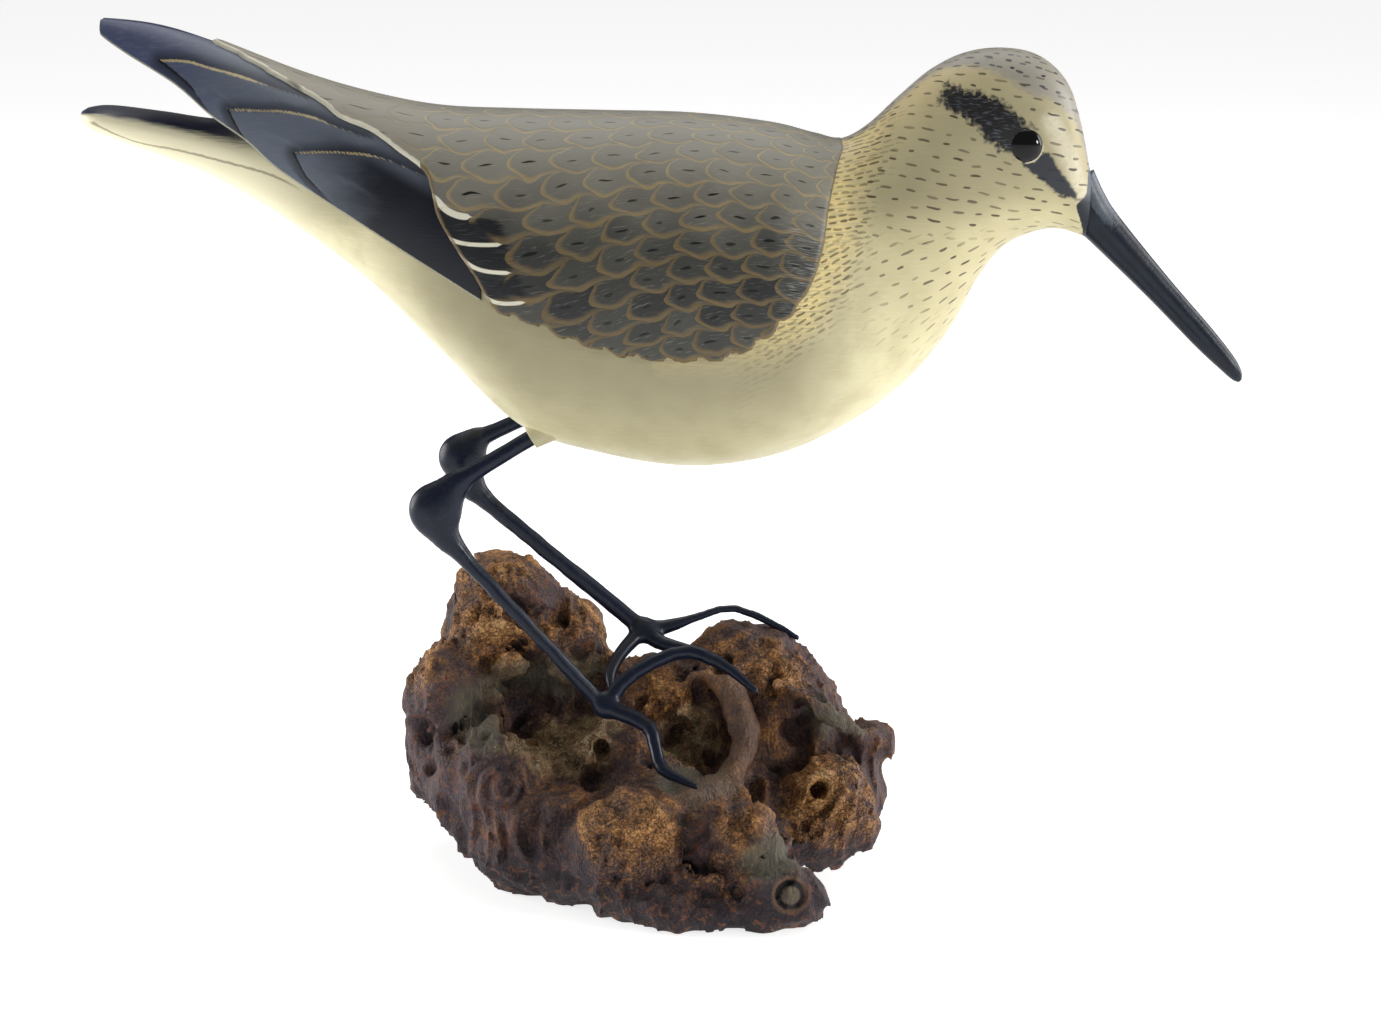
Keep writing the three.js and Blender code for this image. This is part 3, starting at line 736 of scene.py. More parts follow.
@dataclass(frozen=True)
class DarkPaint:
    """Blue-black satin enamel brushed over wood, with fine specks of painted sheen, and lighter grey on its
    high places: painted highlight, and rubbed wear at the heels.
    """

    name: str
    ground: str
    wear_and_sheen: str = "#6a7078"
    brown: str = "#17100f"
    sheen_specks: str = "#26303c"

    def make(self) -> bpy.types.Material:
        """Build the paint of the bill or the legs."""
        g = Graph(self.name)
        at = g.place()
        high, _, _ = g.mark("zones")
        cloud = g.noise(at, 6, 3)
        fine = g.noise(at, 0.8, 3)
        colour = g.over(self.ground, self.brown, g.step(cloud, 0.5, 0.75), 0.4)
        # Fine lighter blue-grey specks of painted sheen
        colour = g.over(colour, self.sheen_specks, g.step(fine, 0.5, 0.75), 0.35)
        # Lighter grey on the high places: painted highlight, and rubbed wear at the heels
        colour = g.over(colour, self.wear_and_sheen, g.step(g.ragged(high, fine, 0.8), 0.55, 1), 0.75)
        rough = g.add("MapRange", cloud, 0.3, 0.8, 0.3, 0.45)
        varnish = {**VARNISH, "Coat_Roughness": 0.2}
        return g.finish(colour, rough, cloud + fine * 0.4, 0.12, **varnish)


@dataclass(frozen=True)
class EyeGlass:
    """Black glass, polished, with a faint brown depth."""

    black: str = "#060608"
    depth: str = "#100d0f"

    def make(self) -> bpy.types.Material:
        """Build the glass of the eyes."""
        g = Graph("eye_glass_black")
        colour = g.over(self.black, self.depth, g.noise(g.place(), 2), 0.5)
        return g.finish(colour, 0.05, Specular_IOR_Level=0.3)


@dataclass(frozen=True)
class BurlWood:
    """Root burl, washed and lightly oiled: orange-brown granular lumps cracked dark, purple-brown
    bark skin in streaks, grey-green weathered hollows with pale fibres, and black pits."""

    tones: tuple = (
        (0.0, "#120e12"), (0.2, "#2b2025"), (0.36, "#463331"), (0.5, "#644838"), (0.64, "#875d39"),
        (0.8, "#b07c46"), (1.0, "#d0a46e"),
    )
    plum: str = "#54454a"
    shade: str = "#2b2229"
    rust: str = "#7d4a2c"
    grey: str = "#55534a"
    grey_light: str = "#6b6650"
    polish: str = "#69503f"
    polish_light: str = "#7d5a45"
    bowl: str = "#86684a"
    fibre: str = "#b3a987"
    lip: str = "#7b5c46"
    plug: str = "#6f6452"
    black: str = "#0a0809"

    def make(self) -> bpy.types.Material:
        """Build the surface of the burl."""
        g = Graph("burl_wood")
        at = g.place()
        rise, warm, cool = g.mark("zones")
        bark, pit, bowl = g.mark("lines")
        ridge, knot, _ = g.mark("more")
        along, _, height = g.split(at)
        twist = g.warp(at, 20, 9)
        crumb = g.warp(at, 3, 3.4)
        grain = g.noise(twist, 1, 4, (1, 1, 8))
        blotch = g.noise(twist, 5, 5)
        fine = g.noise(at, 0.8, 4)
        rag = (blotch - 0.5) * 2
        on_warm, on_bark = g.step(warm + rag, 0.1, 0.8), g.step(bark + rag, 0.2, 0.9)
        low = g.step(height + rag * 8, 28, 4)
        # One tone for the bare wood: light on the lumps and rises, dark low down and at the left
        tone = on_warm * 0.2 + 0.45 - on_bark * 0.08
        for noise, part in ((blotch, 0.6), (grain, 0.4), (fine, 0.75), (g.noise(at, 15, 4), 0.7)):
            tone = g.ragged(tone, noise, part)
        left = g.step(along, -50, -64) * g.step(height, 52, 38)
        right = g.step(along, 32, 44) * on_warm
        tone = tone + rise * 0.08 - low * (0.19 - on_warm * 0.114) - left * 0.12 + right * 0.09
        colour = g.ramp(tone, self.tones)
        skin = g.over(self.plum, self.shade, low)
        colour = g.over(colour, skin, on_bark, g.add("MapRange", grain, 0.38, 0.6, 0.92, 0.15))
        # Dark cracks between the grains of the lumps
        grains = g.add("VectorMath", crumb, named={3: 0.42}, operation="SCALE")
        cracks = g.add("TexVoronoi", grains, named={"Scale": 1}, feature="DISTANCE_TO_EDGE")
        split = g.step(cracks, 0.1, 0) * (on_warm * 0.4 + 0.08)
        colour = g.over(colour, self.black, split)
        # Meandering cracks across the lumps, and rusty flecks on the bark
        vein = abs(g.noise(g.warp(at, 4, 3), 1, 3, (4.5, 4.5, 1.6)) - 0.5)
        colour = g.over(colour, self.black, g.step(vein, 0.03, 0.008), on_warm * 0.45 + 0.25)
        colour = g.over(colour, self.rust, g.step(g.noise(crumb, 2.6, 3), 0.56, 0.66), on_bark, 0.6)
        # Weathered bands and the polished ridge
        weathered = g.over(self.grey, self.grey_light, g.step(grain, 0.4, 0.7))
        colour = g.over(colour, weathered, g.step(cool + rag * 0.8, 0.15, 0.95), 0.75)
        rubbed = g.over(self.polish, self.polish_light, g.step(grain, 0.45, 0.65))
        colour = g.over(colour, rubbed, g.step(ridge + rag * 0.9, 0.2, 1.1), 0.5)
        # The fibrous bowl, its holes, the deep places, the pits and pale threads over them
        colour = g.over(colour, self.bowl, g.step(bowl + rag * 0.6, 0.2, 0.9), 0.75)
        hole = g.ragged(bowl, g.noise(crumb, 3, 3), 2.6)
        colour = g.over(colour, self.black, g.step(hole, 0.95, 1.25), 0.6)
        colour = g.over(colour, self.black, g.step(g.ragged(rise, fine, 1.2), -0.3, -2), 0.5)
        colour = g.over(colour, self.black, g.step(pit + rag * 0.5, 0.35, 0.8), 0.8)
        thread = abs(g.noise(g.warp(at, 5, 6), 1, 2, (5, 5, 0.7)) - 0.5)
        colour = g.over(colour, self.fibre, g.step(thread, 0.05, 0.015), g.step(bowl + rag, 0.35, 0.7), 0.6)
        # Knot hole: a black ring round a pale plug, made darkest at the upper left by painted shadow, with a
        # smooth brown lip
        colour = g.over(colour, self.lip, g.step(knot, 6, 4.6), g.step(knot, 3.6, 4.2), 0.6)
        colour = g.over(colour, self.plug, g.step(knot, 3, 2.5), fine * 0.8 + 0.3)
        shaded = g.add("MapRange", height - along, -31, -26, 0.25, 0.92)
        colour = g.over(colour, self.black, g.step(abs(knot - (fine * 0.8 + 3)), 1.2, 0.5), shaded)
        rough = g.add("MapRange", blotch, 0.3, 0.8, 0.55, 0.75) - g.step(ridge, 0.3, 0.9) * 0.2
        relief = grain * 0.7 + (fine * 0.6 - split * 0.7)
        return g.finish(colour, rough, relief, 0.9, Specular_IOR_Level=0.35)


def table(*rows: list) -> Array:
    """Field of a class that holds rows of numbers."""
    return field(default_factory=lambda: np.array(rows))


def waists(rows: Array) -> Array:
    """Places of the widest line: the height share counts from the bottom towards the top."""
    return rows[:, 2:4] + rows[:, 5:6] * (rows[:, 0:2] - rows[:, 2:4])


def with_picked(marks: dict[str, Array], pick: NDArray[np.int64]) -> dict[str, Array]:
    """Marks of a skin followed by those of its inner side, which lies behind picked sides."""
    return {key: np.concatenate([value, value[:, pick]], axis=1) for key, value in marks.items()}


@dataclass
class Bird:
    """The carved bird: trunk, tail, neck and head, folded wings and thigh tufts.

    Table rows hold top x, top z, bottom x, bottom z, half width and the height share of the widest
    line, as in the frame.
    """

    trunk: Array = table(
        [-157, 220, -157, 217.2, 3.2, 0.5],
        [-155, 221, -155, 215.2, 6.8, 0.5],
        [-149, 221.4, -149, 212.9, 10.2, 0.55],
        [-135, 219.6, -135, 207.8, 13.2, 0.6],
        [-121, 217.6, -121, 202.2, 15.2, 0.6],
        [-100, 217, -100, 189.6, 18.6, 0.55],
        [-78, 217.2, -78, 173.2, 25, 0.5],
        [-58, 220, -58, 153.2, 31.5, 0.48],
        [-36, 219, -36, 131.8, 36.5, 0.48],
        [-13, 218.5, -13, 123.9, 38.8, 0.48],
        [12, 217.8, 12, 120.3, 39.2, 0.48],
        [34, 215.2, 36, 123.6, 36.6, 0.48],
        [46.5, 212.2, 56, 132.6, 31.8, 0.46],
        [54, 212.4, 71.5, 144, 27.2, 0.46],
        [61, 216.4, 83.6, 158.4, 23.6, 0.48],
        [69.4, 224.2, 91, 172.2, 21, 0.5],
        [78.2, 231.6, 96.2, 179.8, 19.8, 0.52],
        [87.8, 236.2, 100.4, 183.6, 19.2, 0.54],
        [98.3, 237.4, 105.2, 185.8, 18.6, 0.55],
        [108, 235.2, 110.2, 187.2, 17, 0.55],
        [115.6, 228.2, 114.8, 187.2, 14.4, 0.54],
        [119.6, 217.2, 118.2, 186.2, 11, 0.5],
        [122.6, 203.4, 121.6, 185, 7, 0.5],
    )
    hull_tip: Array = table(
        [-152, 245.8, -152, 214, 8, 0.48],
        [-136, 243.6, -136, 208, 12.4, 0.48],
        [-121, 239, -121, 202.4, 15.4, 0.48],
        [-97, 229.6, -97, 187.8, 20.4, 0.48],
        [-77, 223.6, -77, 172.4, 26, 0.48],
    )
    primary_lower: Array = table(
        [-150.6, 242.8], [-149.6, 241], [-143, 236.8], [-129.2, 228.8], [-119, 220.4],
        [-109, 213.6], [-99.5, 205.5], [-78.6, 192.6], [-45, 172.6],
    )
    primary_upper: Array = table(
        [-150.6, 244.4], [-149.6, 245], [-136, 243.4], [-121, 239], [-102, 231],
        [-75, 218], [-45, 203],
    )
    covert_edge: Array = table(
        [-124, 240], [-121, 239], [-111, 234.4], [-102.3, 229.8], [-90, 223.5],
        [-84.1, 219.5], [-75.2, 216], [-67.9, 211.3], [-61, 206.6], [-59, 202.5],
        [-57, 195], [-52.1, 186.8], [-46.7, 178.9], [-41.1, 170.3], [-29.1, 166],
        [-18.4, 161.5], [-8, 158.6], [2, 157], [12, 156.8], [21, 157.6], [28.3, 160.5],
        [35.7, 166], [41.1, 171.6], [44.9, 177.6], [47.9, 186.6], [49.6, 196.7], [52.2, 205.9],
        [54.4, 211],
    )
    keel: Array = table(
        [-121, 236], [-104, 222], [-90, 210], [-58, 190], [60, 190],
    )
    skirt: Array = table(
        [-121, 232.5], [-111, 226], [-90, 212], [-75, 202], [-62, 190],
        [-52, 171], [-41, 162], [-18, 153.5], [2, 149], [21, 149], [36, 156],
        [47, 168], [60, 180],
    )
    crown_edge: tuple = (
        (50, -2, 212), (57.3, -3.6, 213.5), (63.6, -4.6, 217.9), (72.7, -4.2, 226.3),
        (80, -5.4, 231.7), (85.8, -8.2, 233.1), (91.6, -10.9, 232.9), (97.4, -13.5, 230.8),
        (103.2, -15, 226.9), (108.6, -14.2, 225), (113, -12.6, 222), (116.5, -10, 217.5),
        (119, -8, 211), (120.6, -6, 204.5),
    )
    stripe: tuple = (
        (80, 226.6), (82.4, 228), (88.4, 227.2), (95.7, 224.4), (101.4, 220.4), (104, 217.4),
        (99.2, 210.6), (95.6, 211.8), (92, 215.2), (89, 218.6), (83.6, 222), (80, 223.6),
    )
    lore: tuple = (
        (101.4, 208.8), (105.2, 207.8), (107.6, 210.6), (109.4, 210.6), (111.1, 207.6), (114.5, 202.9),
        (117.9, 198.6), (117.9, 196.9), (112.4, 198.7), (106.7, 203.8), (102.2, 207.4),
    )
    bill_edge: Array = table(
        [121.2, 183], [120.5, 187.5], [119.3, 191], [117.8, 195.2], [120.9, 197.9],
        [121.4, 203.9], [122.4, 206.5], [126, 208],
    )
    bars: tuple = (
        ((-62, 203.5), (-57.4, 200), (-54.6, 197), (-50.8, 195.3), (-45.7, 194.9), (-38, 194.4)),
        ((-60, 195), (-56.2, 191.4), (-52.4, 189), (-47, 188), (-38.7, 188.2), (-31, 190)),
        ((-56.5, 190), (-52, 186.4), (-48.6, 183.2), (-44, 181.2), (-36.3, 180.8), (-29, 182)),
        ((-52, 184.5), (-47.4, 178.6), (-44, 174.4), (-39.4, 172.6), (-32, 173.2), (-25, 175.4)),
    )
    bar_ends: tuple = (17.8, 23.4, 23.2, 25)
    bar_widths: tuple = (0.95, 0.62, 0.62, 0.62)
    brow: tuple = ((109.5, 219), (113, 213), (116.4, 206), (119.4, 198.5))
    tail_line: tuple = (
        (-153.5, 218), (-141.7, 213), (-129.2, 210.9), (-117, 208.2), (-104.8, 205.2),
        (-97.3, 202.1), (-88, 197),
    )
    eye: tuple[float, float] = (102.9, 212.7)
    feathers: tuple = (
        (((-95, 225), (-103.8, 227.9), (-112.5, 230.8), (-120.4, 233), (-126.1, 234.6), (-133.4, 234.9)),
         ((-133.4, 234.9), (-128, 231), (-123.5, 226.8), (-118, 219))),
        (((-77, 215), (-84.9, 217.6), (-91.5, 220), (-99.4, 221.6), (-105.9, 221.9), (-114.4, 222.3)),
         ((-114.4, 222.3), (-111, 216), (-106.4, 210.5), (-97.9, 204.4), (-88, 196))),
        (((-62, 206), (-71.8, 209.7), (-80, 211), (-88, 211.3), (-96.2, 211)),
         ((-96.2, 211), (-94.6, 207.6), (-93.1, 205), (-89.8, 201.6), (-80, 192))),
    )
    trunk_sides: int = 160
    trunk_steps: tuple = ((-160, 1.5), (-60, 2.2), (40, 1.9), (62, 1.05), (130, 0.9))
    saddle_ends: tuple[float, float] = (2.02, 11.7)
    saddle_sides: int = 171
    saddle_inner: int = 13
    saddle_step: float = 0.92
    blade_rings: int = 150
    blade_sides: int = 46
    blade_inner: int = 10
    blade_start: float = -150.6
    blade_length: float = 105.6
    flow_shift: float = 237.0
    feather_shift: float = 300.0
    power: float = 2.15
    primary_relief: float = 0.8
    feather_step: float = 0.28
    highest_step: float = 0.35
    covert_relief: float = 1.5
    sink: float = 1.3
    primary_thickness: float = 3.2
    seat_gap: float = 0.3
    tuft_radius: float = 3.3
    tuft_root_radius: float = 5.6
    scallop: float = 8.8
    scallop_depth: float = 1.6

    def section(self, rows: Array, angles: Array) -> Array:
        """Rounded sections: the height runs as sin^(2/p) and the width as cos^(2/p) of the angle.

        Args:
            rows: One table row for each ring.
            angles: Angles of each ring, as ring and side, from the left side over the top.

        Returns:
            Points as ring, side and three numbers.
        """
        top, bottom, middle = rows[:, None, 0:2], rows[:, None, 2:4], waists(rows)[:, None]
        sine, cosine = np.sin(angles)[..., None], np.cos(angles)
        rise = np.abs(sine) ** (2 / self.power)
        side = middle + rise * (np.where(sine > 0, top, bottom) - middle)
        wide = rows[:, 4:5] * np.sign(cosine) * np.abs(cosine) ** (2 / self.power)
        return np.stack([side[..., 0], wide, side[..., 1]], axis=-1)

    def angle_at(self, rows: Array, height: Array) -> Array:
        """Angle at which a ring's side reaches a height: the section's sine formula solved for it.

        Args:
            rows: One table row for each ring.
            height: Wanted height on each ring.

        Returns:
            The angles, on the left side.
        """
        middle = waists(rows)[:, 1]
        reach = np.where(height > middle, rows[:, 1] - middle, middle - rows[:, 3])
        share = np.clip((height - middle) / reach, -1, 1)
        return np.arcsin(np.sign(share) * np.abs(share) ** (self.power / 2))

    def stations(self, rows: Array, start: float, end: float, steps: Array) -> Array:
        """Places along a table whose spacing follows wanted steps.

        Args:
            rows: Section table.
            start: First place.
            end: Last place.
            steps: Wanted step in millimetres, as rows of x and step.

        Returns:
            Places along the table.
        """
        fine = np.linspace(start, end, 4000)
        middle = waists(catmull(rows, fine))
        step = np.interp(middle[1:, 0], steps[:, 0], steps[:, 1])
        run = np.linalg.norm(np.diff(middle, axis=0), axis=1) / step
        total = np.concatenate([[0], np.cumsum(run)])
        return np.interp(np.linspace(0, total[-1], int(total[-1]) + 2), total, fine)

    def girth(self, rings: Array, top: int) -> Array:
        """Distance round each ring from its point at the top, which has number top."""
        step = np.linalg.norm(np.diff(rings, axis=1), axis=-1)
        run = np.concatenate([np.zeros((len(rings), 1)), np.cumsum(step, axis=1)], axis=1)
        return np.abs(run - run[:, top : top + 1])

    def on_skin(self, marks: Array, rings: Array, skin: Array) -> Array:
        """Find places on the right side of a skin.

        Each place takes its nearest point's skin coordinates, and moves from there along the skin's
        slopes by the steps that least squares gives for what is left of the way.

        Args:
            marks: Places as rows of x and z, or of x, y and z.
            rings: Points of the skin.
            skin: Two skin coordinates of each point.

        Returns:
            Two skin coordinates for each place.
        """
        seen = rings[..., [0, 2]] if marks.shape[1] == 2 else rings
        right = rings[..., 1] < 0.01
        points = seen[right]
        slopes = np.stack([np.gradient(seen, axis=k)[right] for k in (0, 1)], axis=-1)
        changes = np.stack([np.gradient(skin, axis=k)[right] for k in (0, 1)], axis=-1)
        near = np.array([np.linalg.norm(points - mark, axis=1).argmin() for mark in marks])
        slope, left = slopes[near], (marks - points[near])[..., None]
        flipped = slope.transpose(0, 2, 1)
        steps = np.linalg.solve(flipped @ slope + 0.02 * np.eye(2), flipped @ left)
        return skin[right][near] + (changes[near] @ np.clip(steps, -1.5, 1.5))[..., 0]

    def make_trunk(self) -> Shell:
        """Trunk, tail, neck and head in one loft, with the places that its paint reads.

        Returns:
            The skin and its marks.
        """
        sides, quarter = self.trunk_sides, self.trunk_sides // 4
        places = self.stations(self.trunk, 0, len(self.trunk) - 1, np.array(self.trunk_steps))
        rows = catmull(self.trunk, places)
        rings = self.section(rows, np.tile(turns(sides), (len(rows), 1)))
        middle = waists(rows)
        run = np.concatenate([[0], np.cumsum(np.linalg.norm(np.diff(middle, axis=0), axis=1))])
        run = run + middle[0, 0]
        loop = np.concatenate([rings, rings[:, :1]], axis=1)
        girth = self.girth(loop, quarter)[:, :sides]
        total = np.linalg.norm(np.diff(loop, axis=1), axis=-1).sum(axis=1, keepdims=True)
        girth = np.minimum(girth, total - girth)
        waist = self.girth(loop, 0)[:, quarter : quarter + 1]
        skin = np.stack([np.tile(run[:, None], (1, sides)), girth], axis=-1)
        marks = self.trunk_marks(rings, skin, girth / waist)
        # Strokes read an unrolled side view: the waist point, and the girth laid off along the ring
        up = rows[:, 0:2] - rows[:, 2:4]
        up /= np.linalg.norm(up, axis=1, keepdims=True)
        unrolled = middle[:, None] + (waist - girth)[..., None] * up[:, None]
        side = np.where(rings[..., 1] < 0, 0, self.flow_shift)
        marks["flow"] = stacked(unrolled[..., 0] + side, unrolled[..., 1])
        return closed(rings, marks)

    def trunk_marks(self, rings: Array, skin: Array, share: Array) -> dict[str, Array]:
        """Distances that place the paint of the trunk and head.

        Args:
            rings: Points of the trunk.
            skin: Skin coordinates of each point.
            share: Girth from the back, with 1 on the widest line.

        Returns:
            Three numbers for each point under each name.
        """
        shape = rings.shape[:2]
        x, z = rings[..., 0], rings[..., 2]
        side_view = rings[..., [0, 2]].reshape(-1, 2)

        def off_skin(line: tuple) -> Array:
            """Signed distance on the skin from a smooth line."""
            places = self.on_skin(curve(np.array(line), 60), rings, skin)
            return line_distance(skin.reshape(-1, 2), places)[0].reshape(shape)

        def off_view(line: Array, count: int) -> Array:
            """Signed distance in side view from a smooth line."""
            return line_distance(side_view, curve(line, count))[0].reshape(shape)

        front = np.concatenate([[[4, 118], [20, 150]], self.covert_edge[20:], [[57, 222]]])
        ahead = np.where(x > 0, -off_view(front, 60), FAR)
        stripe = patch_distance(side_view, self.stripe).reshape(shape)
        lore = patch_distance(side_view, self.lore).reshape(shape)
        brow = np.abs(off_view(np.array(self.brow), 24))
        eye = np.hypot(x - self.eye[0], z - self.eye[1])
        throat = ease(x * 0.75 + z * 0.66, 140, 178)
        lap = np.interp(z, self.bill_edge[:, 1], self.bill_edge[:, 0])
        return {
            "zones": stacked(ahead, share, -off_skin(self.crown_edge)),
            "face": stacked(stripe, lore, brow),
            "lines": stacked(off_skin(self.tail_line), eye, throat),
            "more": stacked(x - lap, skin[..., 1]),
        }

    def make_saddle(self) -> Shell:
        """Coverts, shoulder and back feathers: a skin over the hull that sinks in past its edges.

        Returns:
            The skin and its marks.
        """
        sides = self.saddle_sides
        table = np.concatenate([self.hull_tip, self.trunk[7:15]])
        rows = catmull(table, self.stations(table, *self.saddle_ends, np.array([[0.0, self.saddle_step]])))
        x = (rows[:, 0] + rows[:, 2]) / 2
        low = self.angle_at(rows, np.interp(x, self.skirt[:, 0], self.skirt[:, 1]))[:, None]
        base = self.section(rows, low + (np.pi - 2 * low) * np.linspace(0, 1, sides))
        run = np.cumsum(np.gradient(x))[:, None] + x[0]
        skin = np.stack([np.tile(run, (1, sides)), self.girth(base, sides // 2)], axis=-1)
        edge = self.carved_edge(base, skin)
        # The relief fades out where the shoulder runs into the neck
        relief = self.covert_relief * (0.12 + 0.88 * ease(54.5 - base[..., 0], 0, 9))
        soft = np.interp(base[..., 0], [30, 48], [0.55, 1.6])
        lift = (self.sink + relief) * ease(edge / soft, -0.55, 1) - self.sink
        outer = base + normals(base) * lift[..., None]
        # Inside the hull the skin closes on a keel
        pick = np.linspace(sides - 14, 13, self.saddle_inner).astype(int)
        keel = np.interp(x, self.keel[:, 0], self.keel[:, 1])[:, None]
        inner = stacked(base[:, pick, 0], outer[:, pick, 1] * 0.5, keel * np.ones(len(pick)))
        marks = self.saddle_marks(base, skin, edge)
        return closed(np.concatenate([outer, inner], axis=1), with_picked(marks, pick))

    def carved_edge(self, base: Array, skin: Array) -> Array:
        """Distance inwards from the carved edge of the saddle, which is rounded into feather tips.

        Its lower part gains a bowed step for each feather, by the size of a cosine along the edge.

        Args:
            base: Points of the skin before relief.
            skin: Length and girth of each point.

        Returns:
            The distance at each point.
        """
        flat = skin.reshape(-1, 2)
        line = self.on_skin(curve(self.covert_edge, 150), base, skin)
        run = line_distance(flat, line)[1].reshape(base.shape[:2])
        loop = (*line, (line[-1, 0], -5), (line[0, 0], -5))
        edge = -patch_distance(flat, loop).reshape(base.shape[:2])
        length = np.concatenate([[0], np.cumsum(np.linalg.norm(np.diff(line, axis=0), axis=1))])
        x = np.interp(run, length, line[:, 0])
        lower = ease(x, -44, -36) * (1 - ease(x, 38, 46))
        wave = np.abs(np.cos(np.pi * run / self.scallop))
        return edge + lower * self.scallop_depth * (wave - 0.65)

    def saddle_marks(self, base: Array, skin: Array, edge: Array) -> dict[str, Array]:
        """Feather coordinates and zones of the saddle.

        Rows of feathers spread towards the tail, and the feathers turn down low on the wing:
        a = s - k t^2 / 2 and b = t h, where s is the length, t the girth from the ridge.

        Args:
            base: Points of the skin before relief.
            skin: Length and girth of each point.
            edge: Distance inwards from the carved edge.

        Returns:
            Three numbers for each point under each name.
        """
        shape = base.shape[:2]
        s, t = skin[..., 0], skin[..., 1]
        bend = 0.0015 + 0.0085 * ease(s, -75, 5)
        spread = np.exp(0.0035 * np.maximum(s + 50, 0) * ease(s, -50, 10))
        side = np.where(base[..., 1] < 0, 0, self.feather_shift)
        bar, taper = np.full(shape, FAR), np.zeros(shape)
        inside = []
        for k, (line, stop, width) in enumerate(zip(self.bars, self.bar_ends, self.bar_widths)):
            places = self.on_skin(curve(np.array(line), 40), base, skin)
            far, run = (each.reshape(shape) for each in line_distance(skin.reshape(-1, 2), places))
            nearer = np.abs(far) < np.abs(bar)
            swell = width * ease(run, 1, 9) * (1 - ease(run, stop - 1.4, stop + 0.4)) - 0.1
            bar = np.where(nearer, far * (-1) ** k, bar)
            taper = np.where(nearer, swell, taper)
            inside.append(far)
        end = np.interp(base[..., 2], [170, 174, 182, 190, 194, 200], [-29, -31, -34.5, -37, -39, -42])
        greater = np.minimum(np.minimum(inside[0], -inside[3]) * 3, end - s)
        rear = np.where(s < -60.5, 1, ease(-70 - s, 0, 22))
        hairs = ease(base[..., 0], 32, 41) * ease(base[..., 2], 166, 174) * ease(-base[..., 2], -200, -190)
        return {
            "feather": stacked(s - bend * t**2 / 2 + side, t * spread),
            "zones": stacked(edge, t, rear),
            "lines": stacked(bar, taper, greater),
            "more": stacked(hairs),
        }

    def make_primaries(self, side: int) -> Shell:
        """Flight feathers of one wing: a blade on the hull that ends in a free tip.

        Args:
            side: 1 for the left wing, -1 for the right.

        Returns:
            The blade with its feather outlines.
        """
        table = np.concatenate([self.hull_tip, self.trunk[7:10]])
        # The rings stand closer near the tip
        span = np.linspace(0, 1, self.blade_rings)
        x = self.blade_start + self.blade_length * (0.35 * span**2 + 0.65 * span)
        fine = np.linspace(0, len(table) - 1, 3000)
        rows = catmull(table, np.interp(x, catmull(table, fine)[:, 0], fine))
        rows[:, 0] = rows[:, 2] = x
        low, high = (self.angle_at(rows, height)[:, None] for height in self.blade_heights(x))
        base = self.section(rows, low + (high - low) * np.linspace(0, 1, self.blade_sides))
        marks, step = self.primary_marks(base)
        outer = base + normals(base) * (self.primary_relief - self.highest_step + step)[..., None]
        pick = np.linspace(self.blade_sides - 3, 2, self.blade_inner).astype(int)
        inner = outer[:, pick]
        inner[..., 1] = np.maximum(inner[..., 1] - self.primary_thickness, self.seat_gap)
        rings, marks = np.concatenate([outer, inner], axis=1), with_picked(marks, pick)
        if side < 0:
            rings = rings[:, ::-1] * np.array([1, -1, 1])
            marks = {key: value[:, ::-1] for key, value in marks.items()}
        return closed(rings, marks)

    def blade_heights(self, x: Array) -> tuple[Array, Array]:
        """Heights of the lower and the upper edge of a blade at places along it."""
        lower, upper = curve(self.primary_lower, 400), curve(self.primary_upper, 400)
        return np.interp(x, *lower.T), np.interp(x, *upper.T)

    def primary_marks(self, base: Array) -> tuple[dict[str, Array], Array]:
        """Outlines of the flight feathers on a blade.

        Each outline runs down from the upper edge to a feather's tip and back along its notch; the
        side towards the shoulder stands proud.

        Args:
            base: Points of the blade before relief.

        Returns:
            Marks for the paint, and the height of the steps.
        """
        shape = base.shape[:2]
        flat = base[..., [0, 2]].reshape(-1, 2)
        gap, kind, taper = np.full(shape, FAR), np.zeros(shape), np.ones(shape)
        step = np.zeros(shape)
        for upper, notch in self.feathers:
            top, top_run = line_distance(flat, curve(np.array(upper), 30))
            cut, cut_run = line_distance(flat, curve(np.array(notch), 20))
            is_top = np.abs(top) < np.abs(cut)
            inside = np.where((top > 0) & (cut > 0), 1, -1)
            far = (np.where(is_top, np.abs(top), np.abs(cut)) * inside).reshape(shape)
            length = np.linalg.norm(np.diff(np.array(upper), axis=0), axis=1).sum()
            along_top = ease(top_run, 6, 16) * (1 - 0.4 * ease(top_run, length - 3, length))
            fade = np.where(is_top, along_top, 1 - ease(cut_run, 9, 16)).reshape(shape)
            nearer = np.abs(far) < np.abs(gap)
            gap = np.where(nearer, far, gap)
            kind = np.where(nearer, is_top.reshape(shape).astype(float), kind)
            taper = np.where(nearer, fade, taper)
            step = step + self.feather_step * ease(far, -0.5, 0.5) * fade
        lower, upper = self.blade_heights(base[..., 0])
        marks = {
            "lines": stacked(np.abs(gap), kind, taper),
            "more": stacked(np.where(gap < 0, 1, 0)),
            "zones": stacked(base[..., 2] - lower, upper - base[..., 2], base[..., 0] - self.blade_start),
        }
        return marks, np.minimum(step, self.highest_step)

    def make_tuft(self, mouth: Array, root: Array) -> Shell:
        """Painted thigh tuft: a tapering bar that the leg is let into.

        Args:
            mouth: Middle of its open end.
            root: Middle of its end inside the trunk.

        Returns:
            The bar, marked as plain belly.
        """
        radii = (self.tuft_radius, self.tuft_root_radius)
        knots = np.array([[*place, radius, radius] for place, radius in zip((mouth, root), radii)])
        rings = bar_rings(knots, 28, 26)
        plain = {"zones": (FAR, 1.5, -9), "face": (20, 20, 20), "lines": (9, 20, 0), "more": (-20, FAR, 0)}
        marks = {key: np.zeros(rings.shape) + np.array(value) for key, value in plain.items()}
        return closed(rings, {**marks, "flow": rings})

